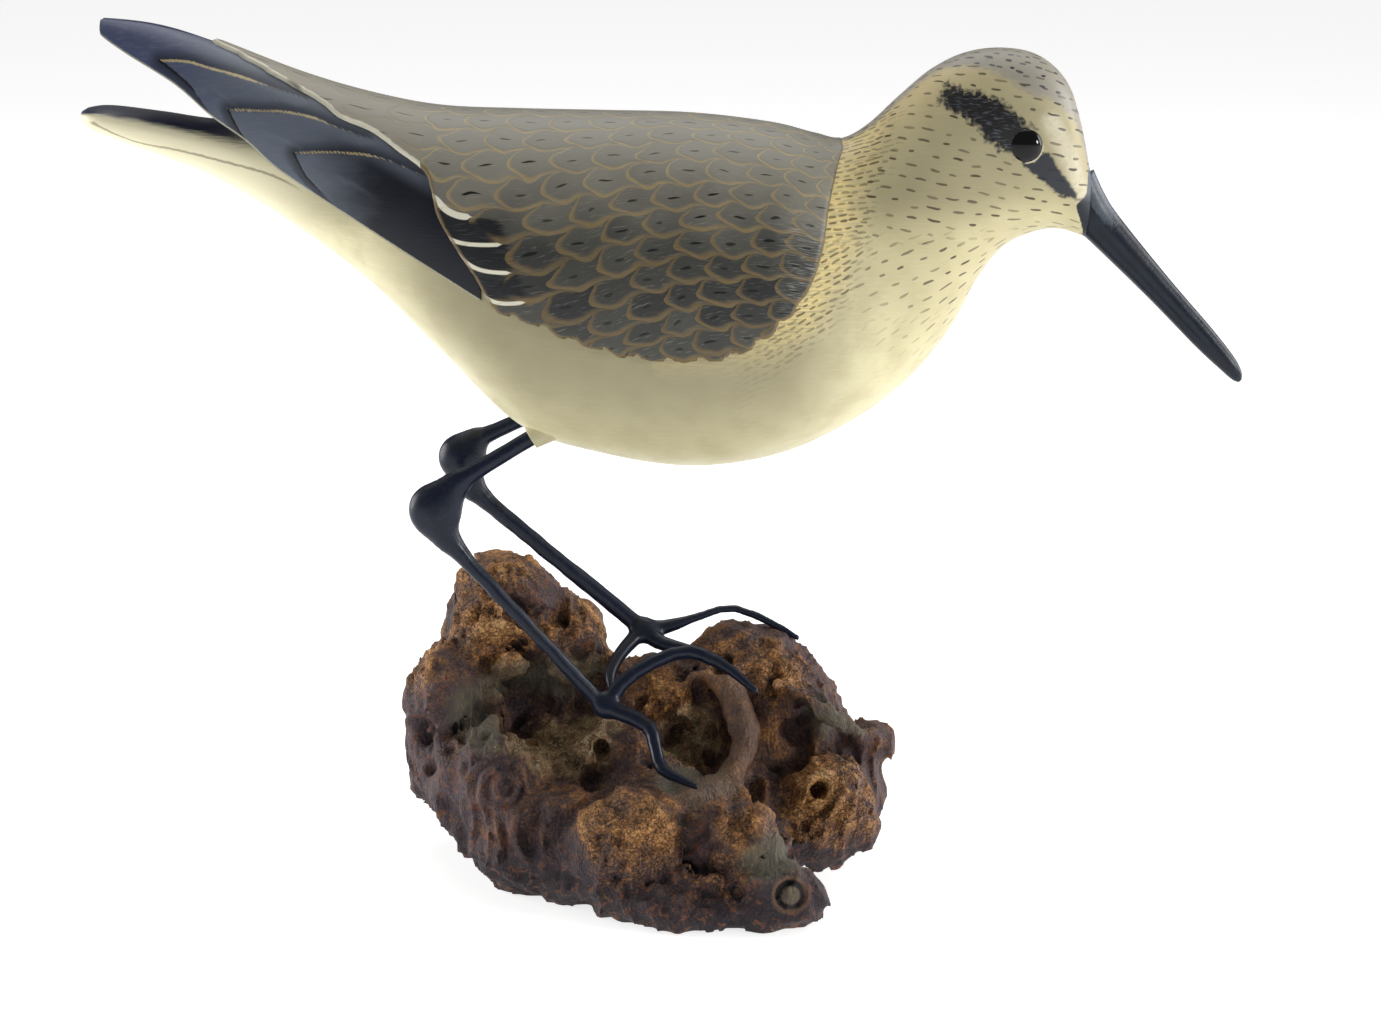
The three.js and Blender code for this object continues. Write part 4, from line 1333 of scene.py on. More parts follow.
    def make(self, legs: "Legs") -> None:
        """Build and dress the bird, with a tuft for each of the legs."""
        body, covert, flight = BodyPaint().make(), CovertPaint().make(), FlightPaint().make()
        shells = [self.make_trunk(), self.make_saddle(), self.make_primaries(1), self.make_primaries(-1)]
        paints = [body, covert, flight, flight]
        for mouth, root in legs.tuft_ends():
            shells.append(self.make_tuft(mouth, root))
            paints.append(body)
        piece = build("painted_body", shells, paints)
        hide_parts("carved_body")


def bar_rings(knots: Array, sides: int, count: int) -> Array:
    """Rings of a bar carried along a smooth path.

    Each ring stands square to the path, with one radius upwards and one across.

    Args:
        knots: Rows of x, y, z, radius in side view and radius across.
        sides: Points of a ring.
        count: Number of rings.

    Returns:
        Points as ring, side and three numbers.
    """
    path = spread_rows(knots, count)
    run = np.gradient(path[:, :3], axis=0)
    run /= np.linalg.norm(run, axis=1, keepdims=True)
    up = np.cross([0, 1, 0], run)
    up /= np.linalg.norm(up, axis=1, keepdims=True)
    side = np.cross(run, up)
    angle = turns(sides)
    lift = path[:, 3, None, None] * np.cos(angle)[None, :, None] * up[:, None]
    spread = path[:, 4, None, None] * np.sin(angle)[None, :, None] * side[:, None]
    return path[:, None, :3] + lift + spread


def blend_near(a: Array, b: Array, k: float) -> Array:
    """Smaller of two distances, rounded by up to k / 4 where they differ by less than k."""
    h = np.maximum(k - np.abs(a - b), 0) / k
    return np.minimum(a, b) - h * h * k / 4


def cut_near(a: Array, b: Array, k: float) -> Array:
    """Distance to one body less another, rounded over k: the union formula on the outside."""
    return -blend_near(-a, b, k)


def ball_distance(at: Array, ball: tuple[float, ...]) -> Array:
    """Distance to a stretched ball, about: its scaled distance over the slope of that distance.

    Args:
        at: Places, with three numbers on the last axis.
        ball: Centre x, y, z and radii x, y, z.

    Returns:
        The distance, less than nothing inside.
    """
    middle, radii = np.array(ball[:3]), np.array(ball[3:6])
    q = (at - middle) / radii
    near = np.linalg.norm(q, axis=-1)
    slope = np.linalg.norm(q / radii, axis=-1)
    return near * (near - 1) / np.maximum(slope, 1e-6)


def tube_distance(at: Array, knots: Array) -> Array:
    """Distance to a chain of round cones, with the width across y scaled to its own radius.

    Args:
        at: Places, with three numbers on the last axis.
        knots: Rows of x, y, z, radius and radius across.

    Returns:
        The distance to the nearest cone.
    """
    best = np.full(at.shape[:-1], np.inf)
    for a, b in zip(knots[:-1], knots[1:]):
        span = b[:3] - a[:3]
        gap = at - a[:3]
        share = np.clip(gap @ span / max(span @ span, 1e-9), 0, 1)
        off = gap - share[..., None] * span
        tall = a[3] + share * (b[3] - a[3])
        wide = a[4] + share * (b[4] - a[4])
        off[..., 1] *= tall / wide
        best = np.minimum(best, np.linalg.norm(off, axis=-1) - tall)
    return best


def skin_field(field_: Array, low: Array, cell: float) -> tuple[Array, NDArray[np.int64]]:
    """Skin a distance field on a cubic grid.

    Each cell that the surface passes through gets one point at the mean of its edge crossings, and
    each cut grid edge gets the quad of the four points round it.

    Args:
        field_: Distances at the grid corners, negative inside.
        low: Place of the first corner.
        cell: Edge of a cell.

    Returns:
        Points and quads.
    """
    shape = np.array(field_.shape) - 1
    total = np.zeros((*shape, 3))
    hits = np.zeros(shape)
    inside = field_ < 0
    for axis in range(3):
        here = np.moveaxis(field_, axis, 0)
        start, end = here[:-1], here[1:]
        cut = (start < 0) != (end < 0)
        share = np.where(cut, start / np.where(cut, start - end, 1), 0)
        steps = [np.arange(n, dtype=float) for n in start.shape]
        grid = np.stack(np.meshgrid(*steps, indexing="ij"), axis=-1)
        grid[..., 0] += share
        order = [axis, *[k for k in range(3) if k != axis]]
        place = np.empty_like(grid)
        for k, own in enumerate(order):
            place[..., own] = grid[..., k]
        place *= cut[..., None]
        total_view = np.moveaxis(total, axis, 0)
        hits_view = np.moveaxis(hits, axis, 0)
        for j in (0, 1):
            for k in (0, 1):
                rows = slice(j, start.shape[1] - 1 + j)
                cols = slice(k, start.shape[2] - 1 + k)
                total_view += place[:, rows, cols]
                hits_view += cut[:, rows, cols]
    cells = hits > 0
    number = np.full(shape, -1)
    number[cells] = np.arange(cells.sum())
    points = total[cells] / hits[cells][:, None] * cell + low
    quads = []
    for axis in range(3):
        first = np.moveaxis(inside, axis, 0)
        cut = first[:-1, 1:-1, 1:-1] != first[1:, 1:-1, 1:-1]
        leaves = first[:-1, 1:-1, 1:-1]
        of = np.moveaxis(number, axis, 0)
        ring = np.stack([of[:, :-1, :-1], of[:, 1:, :-1], of[:, 1:, 1:], of[:, :-1, 1:]], axis=-1)
        if axis == 1:
            leaves = ~leaves
        quad = np.where(leaves[..., None], ring, ring[..., ::-1])[cut]
        quads.append(quad)
    return points, np.concatenate(quads)


def grid_places(low: Array, high: Array, cell: float) -> Array:
    """Corners of a cubic grid between two corners."""
    axes = [np.arange(int(np.ceil((high[k] - low[k]) / cell)) + 1) * cell + low[k] for k in range(3)]
    return np.stack(np.meshgrid(*axes, indexing="ij"), axis=-1)


@dataclass
class Bill:
    """The long bill, let into the face: a tapering bar with a groove along each side.

    Rows hold distance from the face, half height, half width and lift over the straight axis. Fades
    hold the distances between which something comes or goes.
    """

    drop: float = 47.0
    lowering: float = 1.7
    rows: Array = table(
        [-7, 7.2, 4.6, 1.6], [0, 6.3, 4.7, 0.3], [8, 5.3, 4.2, 0], [30, 4, 3.3, 0],
        [50, 3.4, 2.8, 0], [60, 2.6, 2.4, 0], [64.2, 1.8, 1.7, -0.3], [66, 0.7, 0.7, -0.6],
    )
    count: int = 110
    sides: int = 56
    groove_depth: float = 0.45
    groove_width: float = 0.16
    groove_height: float = -0.18
    groove_starts: tuple[float, float] = (1.0, 6.0)
    groove_ends: tuple[float, float] = (44.0, 56.0)
    sheen_ends: tuple[float, float] = (3.0, 17.0)
    paint: DarkPaint = DarkPaint("bill_paint", ground="#0a1626", wear_and_sheen="#59616b")

    def make(self, face: Array) -> None:
        """Build and dress the bill.

        Args:
            face: Last section row of the head.
        """
        base = np.array([(face[0] + face[2]) / 2, 0, (face[1] + face[3]) / 2 - self.lowering])
        drop = np.radians(self.drop)
        run = np.array([np.cos(drop), 0, -np.sin(drop)])
        up = np.array([np.sin(drop), 0, np.cos(drop)])
        rows = spread_rows(self.rows, self.count)
        along = rows[:, 0:1]
        across, rise = np.cos(turns(self.sides)), np.sin(turns(self.sides))
        # The groove bows in by a bell curve of the height on the side
        bell = np.exp(-((rise - self.groove_height) / self.groove_width) ** 2)
        deep = self.groove_depth * ease(along, *self.groove_starts) * (1 - ease(along, *self.groove_ends))
        wide = rows[:, 2:3] * across - bell * deep * np.sign(across)
        high = rows[:, 1:2] * rise + rows[:, 3:4]
        rings = base + along[..., None] * run + high[..., None] * up
        rings[..., 1] += wide
        # Painted highlight: the upper side near the face is painted lighter grey
        wear_and_sheen = ease(rise, -0.1, 0.35) * (1 - ease(along, *self.sheen_ends))
        shell = closed(rings, {"zones": stacked(wear_and_sheen)})
        piece = build("painted_bill", [shell], [self.paint.make()])
        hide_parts("bill")


@dataclass
class Eyes:
    """The two glass eyes: flattened balls set in the head."""

    radius: float = 4.8
    depth: float = 3.0
    proud: float = 1.7
    place: float = 11.15
    angle: float = -2.8
    count: int = 32
    sides: int = 48

    def make(self, bird: Bird) -> None:
        """Build and dress both eyes.

        Args:
            bird: The bird, for the skin of its head.
        """
        row = catmull(bird.trunk[7:], np.array([self.place]))
        point = bird.section(row, np.radians(np.array([[self.angle]])))[0, 0]
        middle = waists(row)[0]
        out = point - np.array([middle[0], 0, middle[1]])
        centre = point + out / np.linalg.norm(out) * (self.proud - self.depth)
        # A ball in rings along y: cos(lift) round the axis, sin(lift) along it
        lift = np.linspace(-np.pi / 2, np.pi / 2, self.count + 2)[1:-1, None]
        turn = turns(self.sides)[::-1]
        reach = self.radius * np.cos(lift)
        level = self.depth * np.sin(lift) * np.ones(self.sides)
        ring = np.stack([reach * np.cos(turn), level, reach * np.sin(turn)], axis=-1)
        glass = EyeGlass().make()
        for side, name in ((1, "left"), (-1, "right")):
            place = centre * np.array([1, side, 1])
            ends = place + np.array([[0, -self.depth, 0], [0, self.depth, 0]])
            shell = Shell(np.concatenate([(ring + place).reshape(-1, 3), ends]), loft(ring))
            piece = build(f"glass_eye_{name}", [shell], [glass])
            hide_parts(f"eye_{name}")


@dataclass
class Legs:
    """The two bent legs: thigh, heel knob, shank and toes, grown together.

    Knots hold x, distance outwards from the leg's plane, z, radius in side view and radius across;
    toe knots are counted from the foot and hold one radius.
    """

    spread: float = 15.0
    tuft_length: float = 16.0
    letting_in: float = 3.0
    toe_root: float = 2.5
    cell: float = 0.62
    quick_cell: float = 1.24
    blend: float = 2.2
    margin: float = 3.0
    thigh_knots: int = 12
    shank_knots: int = 16
    toe_knots: int = 12
    roughness: float = 0.10
    bend_rub: tuple = (6, 0, -6)
    paint: DarkPaint = DarkPaint("leg_paint", ground="#0a1428")
    knots: dict = field(default_factory=lambda: {
        "right": (-1, {
            "thigh": [
                [-30.5, -1.4, 131.8, 2.3, 2.1], [-48.5, 0, 121.1, 2.5, 2.3], [-54, 0, 117.2, 4, 3.2],
                [-58, 0, 112.6, 5.6, 4],
            ],
            "heel": [-60.4, 0, 110.0, 7.2, 4.4],
            "shank": [
                [-59.8, 0, 108.6, 6.3, 4.2], [-57.6, 0, 102.8, 4.3, 3.6], [-53, 0, 96.9, 2.6, 2.5],
                [-45.3, 0, 88.3, 2, 2], [-12.8, 0, 52, 2.1, 2.1],
            ],
            "toes": [
                [[11.8, 5, -3.6, 2.1], [14.3, 10, -9, 1.9], [16.8, 15, -14, 1.7], [25.8, 20, -17, 0.9]],
                [[6.8, -4, 8, 2.1], [21.8, -8, 14.2, 2], [32.8, -7, 11, 1.8], [42.8, -3, 4, 1]],
            ],
        }),
        "left": (1, {
            "thigh": [
                [-33, -1.4, 131.5, 2.2, 2.1], [-46.2, 0, 125.3, 2.4, 2.3], [-50.5, 0, 123, 3.9, 3.2],
                [-53.5, 0, 119.4, 5.4, 4],
            ],
            "heel": [-54.6, 0, 118.4, 6.5, 4.4],
            "shank": [
                [-54, 0, 117, 5.4, 4.2], [-52, 0, 110.2, 4.2, 3.6], [-48.6, 0, 106.4, 2.9, 2.6],
                [-42, 0, 100.4, 2.4, 2.1], [-9, 0, 72.4, 2.4, 2.2], [-2.2, 0, 66.8, 2.6, 2.4],
            ],
            "toes": [
                [
                    [6.2, 1, 0.4, 2.2], [15.2, 3, 2.6, 1.2], [25.2, 6, 4.8, 1.1], [36.2, 5, 1.2, 1.1],
                    [45, 3, -3.4, 0.8],
                ],
                [[5.2, -4, -3, 2.2], [15.2, -10, -3.4, 1]],
                [[-5.8, -7, -4.4, 2], [-9.2, -13, -8.8, 1.8], [-9.3, -18, -12.4, 1.1]],
            ],
        }),
    })

    def placed(self, knots: list, side: int) -> Array:
        """Knots of a leg in the object's frame."""
        rows = np.array(knots, dtype=float)
        rows[:, 1] = side * (self.spread + rows[:, 1])
        return rows

    def tuft_ends(self) -> list[tuple[Array, Array]]:
        """Places of the thigh tufts: each lies along the first run of its thigh, which it laps over.

        Returns:
            Mouth and root of each tuft.
        """
        ends = []
        for side, parts in self.knots.values():
            rows = self.placed(parts["thigh"], side)
            start = rows[0, :3]
            run = start - rows[1, :3]
            run /= np.linalg.norm(run)
            ends.append((start - run * self.letting_in, start + run * (self.tuft_length - self.letting_in)))
        return ends

    def toe(self, foot: Array, knots: list, side: int) -> Array:
        """Chain of a toe from the foot outwards.

        Args:
            foot: Last knot of the shank, before it is placed.
            knots: Knots of the toe, counted from the foot.
            side: 1 for the left leg, -1 for the right.

        Returns:
            Smooth knots with the radius in both places.
        """
        rows = [[*foot, self.toe_root], *([*(foot + np.array(knot[:3])), knot[3]] for knot in knots)]
        placed = self.placed(rows, side)
        return spread_rows(np.column_stack([placed, placed[:, 3]]), self.toe_knots)

    def make_leg(self, parts: dict, side: int) -> Shell:
        """Skin of one leg: the rounded union of its chains and the heel.

        Args:
            parts: Knots of the leg's parts.
            side: 1 for the left leg, -1 for the right.

        Returns:
            The skin, marked where it is rubbed and where its highlight is painted.
        """
        thigh = spread_rows(self.placed(parts["thigh"], side), self.thigh_knots)
        shank = spread_rows(self.placed(parts["shank"], side), self.shank_knots)
        foot = np.array(parts["shank"][-1][:3])
        toes = [self.toe(foot, knots, side) for knots in parts["toes"]]
        every = np.concatenate([thigh, shank, *toes])
        pad = every[:, 3].max() + self.margin
        low, high = every[:, :3].min(axis=0) - pad, every[:, :3].max(axis=0) + pad
        cell = self.cell
        at = grid_places(low, high, cell)
        near = tube_distance(at, thigh)
        for chain in (shank, *toes):
            near = blend_near(near, tube_distance(at, chain), self.blend)
        x, y, z, tall, wide = self.placed([parts["heel"]], side)[0]
        near = blend_near(near, ball_distance(at, (x, y, z, tall, wide, tall)), self.blend)
        points, quads = skin_field(near, low, cell)
        points = points + self.roughness * lattice_noise(points, 4.0, 5)[:, None]
        wear_and_sheen = self.rubs_and_highlights(points, np.concatenate(toes), np.array([x, y, z]))
        return Shell(points, [quads], {"zones": stacked(wear_and_sheen)})

    def rubs_and_highlights(self, points: Array, toes: Array, heel: Array) -> Array:
        """Places painted lighter: rubbed wear at the inner bend of the heel, by a bell curve, and a painted
        highlight on the tops of the toes.

        Args:
            points: Points of the leg.
            toes: Knots of all toes.
            heel: Middle of the heel.

        Returns:
            How far each point is painted lighter, from 0 to 1.
        """
        bend = np.exp(-(np.linalg.norm(points - heel - np.array(self.bend_rub), axis=1) / 4.5) ** 2)
        near = np.linalg.norm(points[:, None] - toes[None, :, :3], axis=-1).argmin(axis=1)
        close = np.linalg.norm(points - toes[near, :3], axis=1) < 4
        top = ease(points[:, 2] - toes[near, 2], 0.6, 2.2) * close
        return np.clip(0.7 * bend + 0.45 * top, 0, 1)

    def make(self) -> None:
        """Build and dress both legs."""
        paint = self.paint.make()
        for name, (side, parts) in self.knots.items():
            piece = build(f"painted_leg_{name}", [self.make_leg(parts, side)], [paint])
            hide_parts(f"leg_{name}")


@dataclass
class Burl:
    """The root burl: lobes grown together, cut by hollows, with ridges, knots, pits and a rough skin.

    Balls hold centre x, y, z and radii x, y, z.
    """

    lobes: tuple = (
        (-2, -2, 14, 50.5, 42, 24), (0, 18, 20, 56, 32, 30), (-43, 28, 57, 20, 20, 29.6),
        (-56.5, 22, 40, 16.5, 24, 22), (-61, 20, 21, 10.5, 14, 12), (-26, 26, 54, 14, 18, 22),
        (-10, 22, 36, 22, 20, 16), (1, 14, 47, 12, 12, 14), (27, 20, 44, 24, 20, 24),
        (43, 13, 38, 14, 17, 20), (-10, -12, 38, 12, 9, 10), (-43, -14, 31, 14, 17, 14),
        (-23, -31, 16, 14, 12, 17), (-5, -41, 18, 16, 14, 19), (26, -43, 20, 14, 12, 15),
        (37, -51, 8, 13, 11, 11), (13, -46, 5, 26, 15, 9), (51, -12, 20, 15, 14, 17),
        (58, 8, 19, 10.5, 16, 17), (66, 8, 36, 8, 6, 4.5), (-54, -2, 26, 11, 16, 17),
        (4, 4, 47, 9, 8, 9), (-45, 26, 80, 11, 10, 6.4), (-60, 6, 52, 9, 12, 11),
        (-38, -24, 16, 13, 14, 15),
    )
    hollows: tuple = (
        (-30, -12, 58, 18, 19, 19), (13, -27, 47, 9.5, 9, 13), (43, -6, 42, 5, 6, 11),
        (30, -32, 32, 4, 5, 6),
    )
    pits: tuple = (
        (37, -42, 26, 3.6, 7, 4.2), (-24, -18, 37, 4.5, 6, 3.4), (-17, -23, 34, 4, 6, 2.8),
        (-31, -20, 38, 3.2, 5, 3), (-20, 3, 47, 5, 6, 3.4), (-33, 4, 46, 4.4, 6, 3.4),
        (-14, -15, 40, 3, 5, 2.4), (-28, -8, 43, 2.6, 5, 2.2), (-12, -24, 37, 2.6, 5, 2),
        (8, -7, 41, 5.6, 9, 6.4), (17, -8, 38, 5, 9, 7), (48, -20, 30, 1.5, 3, 1.6),
        (21, 4, 59, 2.4, 4, 3.6), (35, 2, 53, 2.2, 3, 2.6), (-38, 12, 73, 5.5, 4, 3.4),
        (-26, 14, 71, 4.2, 4, 4.2),
        (44, -5, 41, 3.4, 8, 8), (30, -18, 30, 2.8, 5, 4.4),
    )
    ridges: tuple = (
        (
            (12, 3.5, 56, 1.8), (17, 3, 56, 3.2), (21, 0, 54, 4.6), (24.5, -3, 49, 5.4),
            (26.5, -8.5, 42, 5.6), (25, -15, 35, 5), (20, -22, 31, 3.8), (12, -27, 30.5, 2.4),
        ),
        ((-46, 2, 49, 3), (-40, 4, 53, 3.2), (-30, 7, 56.5, 3.4), (-20, 8, 57, 3.4), (-11, 10, 58, 3)),
        (
            (-45, -8, 46, 2.2), (-49, -16, 41, 2.8), (-48, -24, 34, 2.8), (-41, -30, 27, 2.6),
            (-30, -33, 24, 2),
        ),
        (
            (17.5, -45, 33, 2), (20.5, -49, 35.5, 2.1), (26, -51.5, 33.5, 2.2), (31, -52.5, 28, 2.2),
            (29.5, -54.5, 23.5, 2), (23.5, -54, 24, 1.8), (18.5, -50, 28.5, 1.8),
        ),
        ((-70, 14, 52, 2.2), (-69, 6, 44, 2.4), (-66, 0, 34, 2.4), (-60, -8, 22, 2.4), (-50, -22, 10, 2.2)),
        ((-62, 2, 56, 2.2), (-60, -3, 46, 2.4), (-57, -10, 34, 2.4), (-50, -24, 20, 2.4), (-38, -36, 8, 2.2)),
        ((36, -2, 55, 2), (46, -4, 50, 2.4), (55, -4, 44, 2.4), (62, 0, 38, 2.4), (68, 4, 36, 2.4)),
    )
    niche: tuple = (-41, 5, 59, 9.5, 6, 7.5)
    plug: tuple = (-40, 8, 57.5, 6.4, 6, 4.8)
    warm_balls: tuple = (
        (-5, -45, 24, 14, 14, 15), (52, -16, 24, 15, 14, 13), (46, -18, 33, 11, 12, 9),
        (-45, 24, 82, 12, 14, 8), (-50, 14, 68, 14, 10, 10), (-20, 14, 64, 12, 12, 12),
        (-68, 12, 56, 9, 16, 8), (30, 8, 56, 16, 10, 9), (4, 0, 50, 8, 8, 6), (-40, 8, 58, 6, 6, 5),
        (24, -52, 28, 5, 6, 5), (20, -55, 16, 8, 6, 6), (-52, -8, 36, 7, 10, 6),
    )
    cool_balls: tuple = (
        (-30, 4, 54, 20, 10, 7), (-47, -12, 42, 6, 10, 9), (54, -2, 45, 11, 9, 6),
        (33, -52, 20, 8, 8, 7), (12, -20, 31, 12, 10, 5), (-52, -2, 46, 6, 8, 8),
    )
    bowl_balls: tuple = ((-24, -8, 42, 17, 14, 12), (12, -6, 40, 9, 12, 9), (-36, -14, 38, 8, 10, 7))
    dark_balls: tuple = (
        (-34, 16, 77, 12, 12, 6), (-16, 12, 60, 5, 8, 7), (12, -46, 18, 5, 10, 13),
        (-20, -40, 12, 8, 12, 12), (43, -4, 43, 4, 8, 8), (57, 8, 44, 5, 10, 5),
    )
    knot_mouth: tuple = (38.8, -58, 11.2)
    knot_way: tuple = (0.2, -0.9, 0.35)
    knot_reach: float = 8.0
    swirl_middle: tuple = (-41, -29, 33)
    swirl_step: float = 3.2
    cell: float = 0.9
    quick_share: float = 1.7
    blend: float = 7.0
    hollow_blend: float = 4.0
    ridge_blend: float = 4.5
    niche_blend: float = 2.0
    plug_blend: float = 1.5
    pit_blend: float = 1.6
    inset: float = 0.45
    seat: float = 0.05
    rough_reach: float = 6.0
    rise_reach: float = 3.6

    def tube(self, at: Array, knots: tuple) -> Array:
        """Distance to a ridge laid along knots of x, y, z and radius."""
        return tube_distance(at, spread_rows(np.array([(*knot, knot[3]) for knot in knots], dtype=float), 14))

    def distance(self, at: Array) -> Array:
        """Distance to the burl: rounded union of the lobes and ridges, less hollows and pits.

        Args:
            at: Places, with three numbers on the last axis.

        Returns:
            The distance, less than nothing inside.
        """
        near = ball_distance(at, self.lobes[0])
        for lobe in self.lobes[1:]:
            near = blend_near(near, ball_distance(at, lobe), self.blend)
        for hollow in self.hollows:
            near = cut_near(near, ball_distance(at, hollow), self.hollow_blend)
        for ridge in self.ridges:
            near = blend_near(near, self.tube(at, ridge), self.ridge_blend)
        near = cut_near(near, ball_distance(at, self.niche), self.niche_blend)
        near = blend_near(near, ball_distance(at, self.plug), self.plug_blend)
        for pit in self.pits:
            near = cut_near(near, ball_distance(at, pit), self.pit_blend)
        # A ring groove round a shallow plug makes the knot hole
        across = self.knot(at)
        groove = 2.2 * (1 - ease(np.abs(across - 3.4), 0.4, 1.3)) + 0.9 * (1 - ease(across, 2.2, 3.2))
        return near + groove + self.inset

    def knot(self, at: Array) -> Array:
        """Distance from the axis of the knot hole at the front, where near its mouth.

        Args:
            at: Places, with three numbers on the last axis.

        Returns:
            The distance, large away from the mouth.
        """
        way = np.array(self.knot_way) / np.linalg.norm(self.knot_way)
        away = at - np.array(self.knot_mouth)
        along = away @ way
        across = np.linalg.norm(away - along[..., None] * way, axis=-1)
        return np.where(np.abs(along) < self.knot_reach, across, FAR)

    def roughness(self, at: Array, near: Array) -> Array:
        """Rough skin near the surface: folds along the grain, lumps, streaks down the bark, crumbs on
        the warm lumps, holes in the bowl and rings round the knot at the left.

        Args:
            at: Grid places.
            near: Smooth distance there.

        Returns:
            What is added to the distance.
        """
        close = np.abs(near) < self.rough_reach
        places = at[close]
        rough = np.zeros(near.shape)
        twisted = places + 5 * np.stack([lattice_noise(places, 17, seed) for seed in (1, 2, 3)], axis=1)
        folds = 1 - np.abs(lattice_noise(twisted * np.array([1, 1, 0.4]), 5.0, 11))
        streaks = 1 - np.abs(lattice_noise(twisted * np.array([1, 1, 0.25]), 2.6, 13))
        lumps = lattice_noise(places, 8, 21)
        small = lattice_noise(twisted, 3.6, 31)
        tiny = lattice_noise(twisted, 2.0, 41)
        crumbs, bowl = (self.nearness(places, balls) for balls in (self.warm_balls, self.bowl_balls))
        smooth = 1 - ease(self.tube(places, self.ridges[0]), 0, 3)
        swirl = np.linalg.norm((places - np.array(self.swirl_middle)) * np.array([1, 0.5, 1]), axis=1)
        rings = 0.8 * np.cos(swirl * 2 * np.pi / self.swirl_step) * (1 - ease(swirl, 5, 10))
        coarse = 1.7 * folds**3 + 1.1 * lumps + 0.9 * (streaks**2) * self.bark(places) + rings
        crumble = (0.55 + 0.5 * crumbs + 0.8 * bowl) * small + (0.3 + 0.45 * crumbs + 0.6 * bowl) * tiny
        rough[close] = 1.3 - (1 - 0.5 * smooth) * (coarse + crumble) - 0.3 * smooth
        return rough

    def nearness(self, places: Array, balls: tuple, low: float = -4.0, high: float = 5.0) -> Array:
        """How near places lie to some balls.

        Args:
            places: Places, as n rows of three.
            balls: Centres and radii.
            low: Distance up to which a place counts in full.
            high: Distance from which it counts no more.

        Returns:
            Nearness from 0 to 1.
        """
        near = np.zeros(len(places))
        for ball in balls:
            near = np.maximum(near, 1 - ease(ball_distance(places, ball), low, high))
        return near

    def bark(self, places: Array) -> Array:
        """Where the bark skin is left: low down, at both ends and in the dark places.

        Args:
            places: Places, as n rows of three.

        Returns:
            Amount of bark from 0 to 1, as the largest of the four.
        """
        x, y, z = places.T
        low = ease(-z, -28, -10)
        left = ease(-x - 0.3 * y, 40, 54) * ease(-z, -66, -48)
        right = ease(x + 0.5 * z, 62, 76)
        return np.maximum.reduce([low, left, right, self.nearness(places, self.dark_balls)])

    def blurred(self, field_: Array, reach: int) -> Array:
        """Mean of a field over a cube round each place, from differences of running sums.

        Args:
            field_: Distances on the grid.
            reach: Half the cube's edge, in cells.

        Returns:
            The mean, which is positive on rises of the surface.
        """
        size = 2 * reach + 1
        for axis in range(3):
            first, last = np.take(field_, [0] * (reach + 1), axis), np.take(field_, [-1] * reach, axis)
            total = np.cumsum(np.concatenate([first, field_, last], axis), axis=axis)
            upper = np.take(total, np.arange(size, total.shape[axis]), axis)
            lower = np.take(total, np.arange(total.shape[axis] - size), axis)
            field_ = (upper - lower) / size
        return field_

    def marks(self, points: Array, rise: Array) -> dict[str, Array]:
        """What the paint reads on the surface.

        Args:
            points: Points of the surface.
            rise: How far each point stands out.

        Returns:
            Three numbers for each point under each name.
        """
        warm, cool, bowl = (
            self.nearness(points, balls) for balls in (self.warm_balls, self.cool_balls, self.bowl_balls)
        )
        pit = self.nearness(points, (*self.pits, *self.hollows[2:]), -1.4, 0.8)
        ridge = 1 - ease(self.tube(points, self.ridges[0]), 0.5, 3.5)
        return {
            "zones": stacked(rise, warm, cool),
            "lines": stacked(self.bark(points), pit, bowl),
            "more": stacked(ridge, self.knot(points)),
        }

    def make(self) -> None:
        """Build and dress the burl, kept inside the box of the part that it replaces."""
        box = np.array(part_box("burl_base")) / MM
        cell = self.cell * 1
        low, high = box[0] - 2.5 * cell, box[1] + 2.5 * cell
        at = grid_places(low, high, cell)
        near = self.distance(at)
        near = near + self.roughness(at, near)
        middle, half = (box[0] + box[1]) / 2, (box[1] - box[0]) / 2 - self.seat
        near = np.maximum(near, (np.abs(at - middle) - half).max(axis=-1))
        points, quads = skin_field(near, low, cell)
        points[:, 2] = np.maximum(points[:, 2], 0)
        wide = self.blurred(near, max(int(round(self.rise_reach / cell)), 1))
        index = np.clip(np.round((points - low) / cell).astype(int), 0, np.array(near.shape) - 1)
        shell = Shell(points, [quads], self.marks(points, wide[tuple(index.T)]))
        piece = build("gnarled_burl", [shell], [BurlWood().make()])
        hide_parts("burl_base")


@dataclass(frozen=True)
class Paper:
    """Matt white paper that glows a little, so that its edge is lost."""

    white: str = "#c9c9c8"
    cloud: str = "#c5c5c4"
    glow: float = 0.78

    def make(self) -> bpy.types.Material:
        """Build the paper of the floor."""
        g = Graph("white_paper")
        colour = g.over(self.white, self.cloud, g.noise(g.place(), 300.0))
        shine = {"Emission_Color": (1.0, 1.0, 1.0, 1.0), "Emission_Strength": self.glow}
        return g.finish(colour, 0.9, Specular_IOR_Level=0.1, **shine)


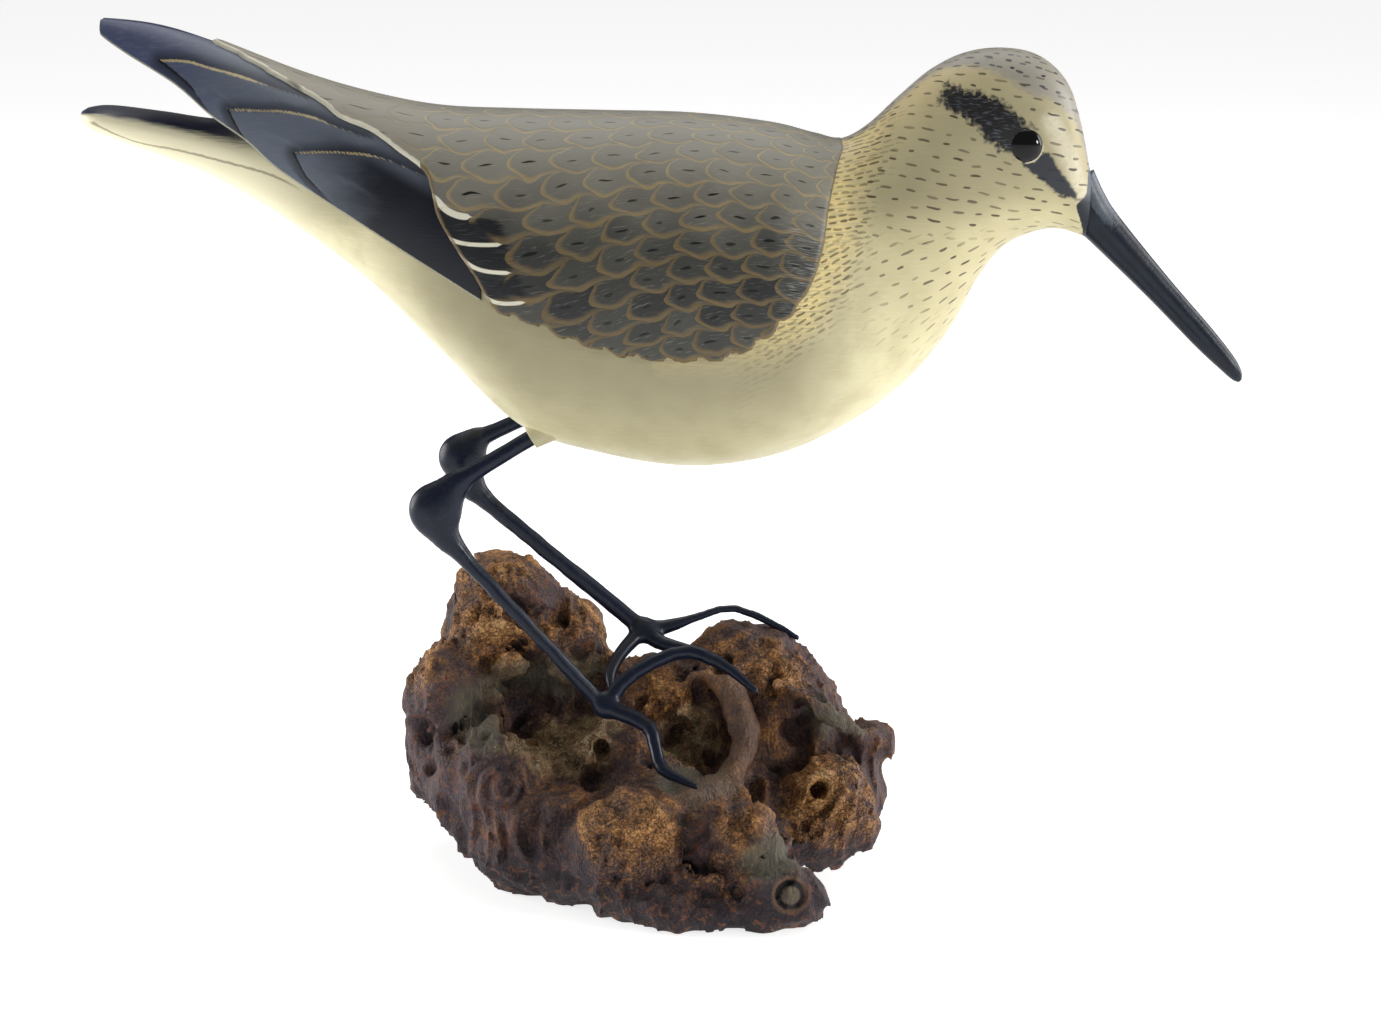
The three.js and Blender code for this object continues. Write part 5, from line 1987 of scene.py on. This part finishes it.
@dataclass
class Studio:
    """Pale floor, soft lights and the camera at the photograph's angle.

    Lights hold name, place, target, width and power.
    """

    camera_place: tuple = (11.5, -950, 335.6)
    camera_target: tuple = (11.5, 0, 105.6)
    lens: float = 89.39
    sensor: float = 36.0
    sight: float = 100.0
    floor_size: float = 40000.0
    lights: tuple = (
        ("sky", (0, 500, 1300), (0, 0, 120), 1400, 9),
        ("left", (-1300, 250, 350), (0, 0, 150), 900, 14),
        ("right", (1300, 350, 500), (0, 0, 150), 900, 11),
        ("glint", (1500, -640, 480), (100, 0, 200), 330, 10),
    )
    surround: float = 0.22

    def aim(self, thing: bpy.types.Object, place: tuple, target: tuple) -> None:
        """Bring a camera or light into the scene at a place and turn it to a target.

        Args:
            thing: The new camera or light.
            place: Where it stands.
            target: What it looks at.
        """
        bpy.context.scene.collection.objects.link(thing)
        start, end = Vector(place) * MM, Vector(target) * MM
        thing.location = start
        thing.rotation_euler = (end - start).to_track_quat("-Z", "Y").to_euler()

    def make_camera(self) -> None:
        """Set the camera."""
        data = bpy.data.cameras.new("view")
        data.lens = self.lens
        data.sensor_width = self.sensor
        data.clip_end = self.sight
        camera = bpy.data.objects.new("view", data)
        self.aim(camera, self.camera_place, self.camera_target)
        bpy.context.scene.camera = camera

    def make_lights(self) -> None:
        """Hang the lights and set a pale surround."""
        for name, place, target, size, power in self.lights:
            data = bpy.data.lights.new(name, "AREA")
            data.shape = "DISK"
            data.size = size * MM
            data.energy = power
            self.aim(bpy.data.objects.new(name, data), place, target)
        world = bpy.data.worlds.new("surround")
        world.use_nodes = True
        back = world.node_tree.nodes["Background"]
        back.inputs["Color"].default_value = (1.0, 1.0, 1.0, 1.0)
        back.inputs["Strength"].default_value = self.surround
        bpy.context.scene.world = world
        bpy.context.scene.view_settings.view_transform = "Standard"

    def make_floor(self) -> None:
        """Lay a matt white paper floor."""
        half = self.floor_size / 2 * MM
        corners = [(-half, -half, 0), (half, -half, 0), (half, half, 0), (-half, half, 0)]
        mesh = bpy.data.meshes.new("floor")
        mesh.from_pydata(corners, [], [(0, 1, 2, 3)])
        mesh.materials.append(Paper().make())
        floor = bpy.data.objects.new("floor", mesh)
        bpy.context.scene.collection.objects.link(floor)


def main() -> None:
    """Build the studio and the decoy."""
    logging.basicConfig(level=logging.INFO, format="%(name)s %(message)s")
    studio = Studio()
    studio.make_camera()
    studio.make_lights()
    studio.make_floor()
    legs = Legs()
    bird = Bird()
    bird.make(legs)
    Bill().make(bird.trunk[-1])
    Eyes().make(bird)
    legs.make()
    Burl().make()


if __name__ == "__main__":
    main()
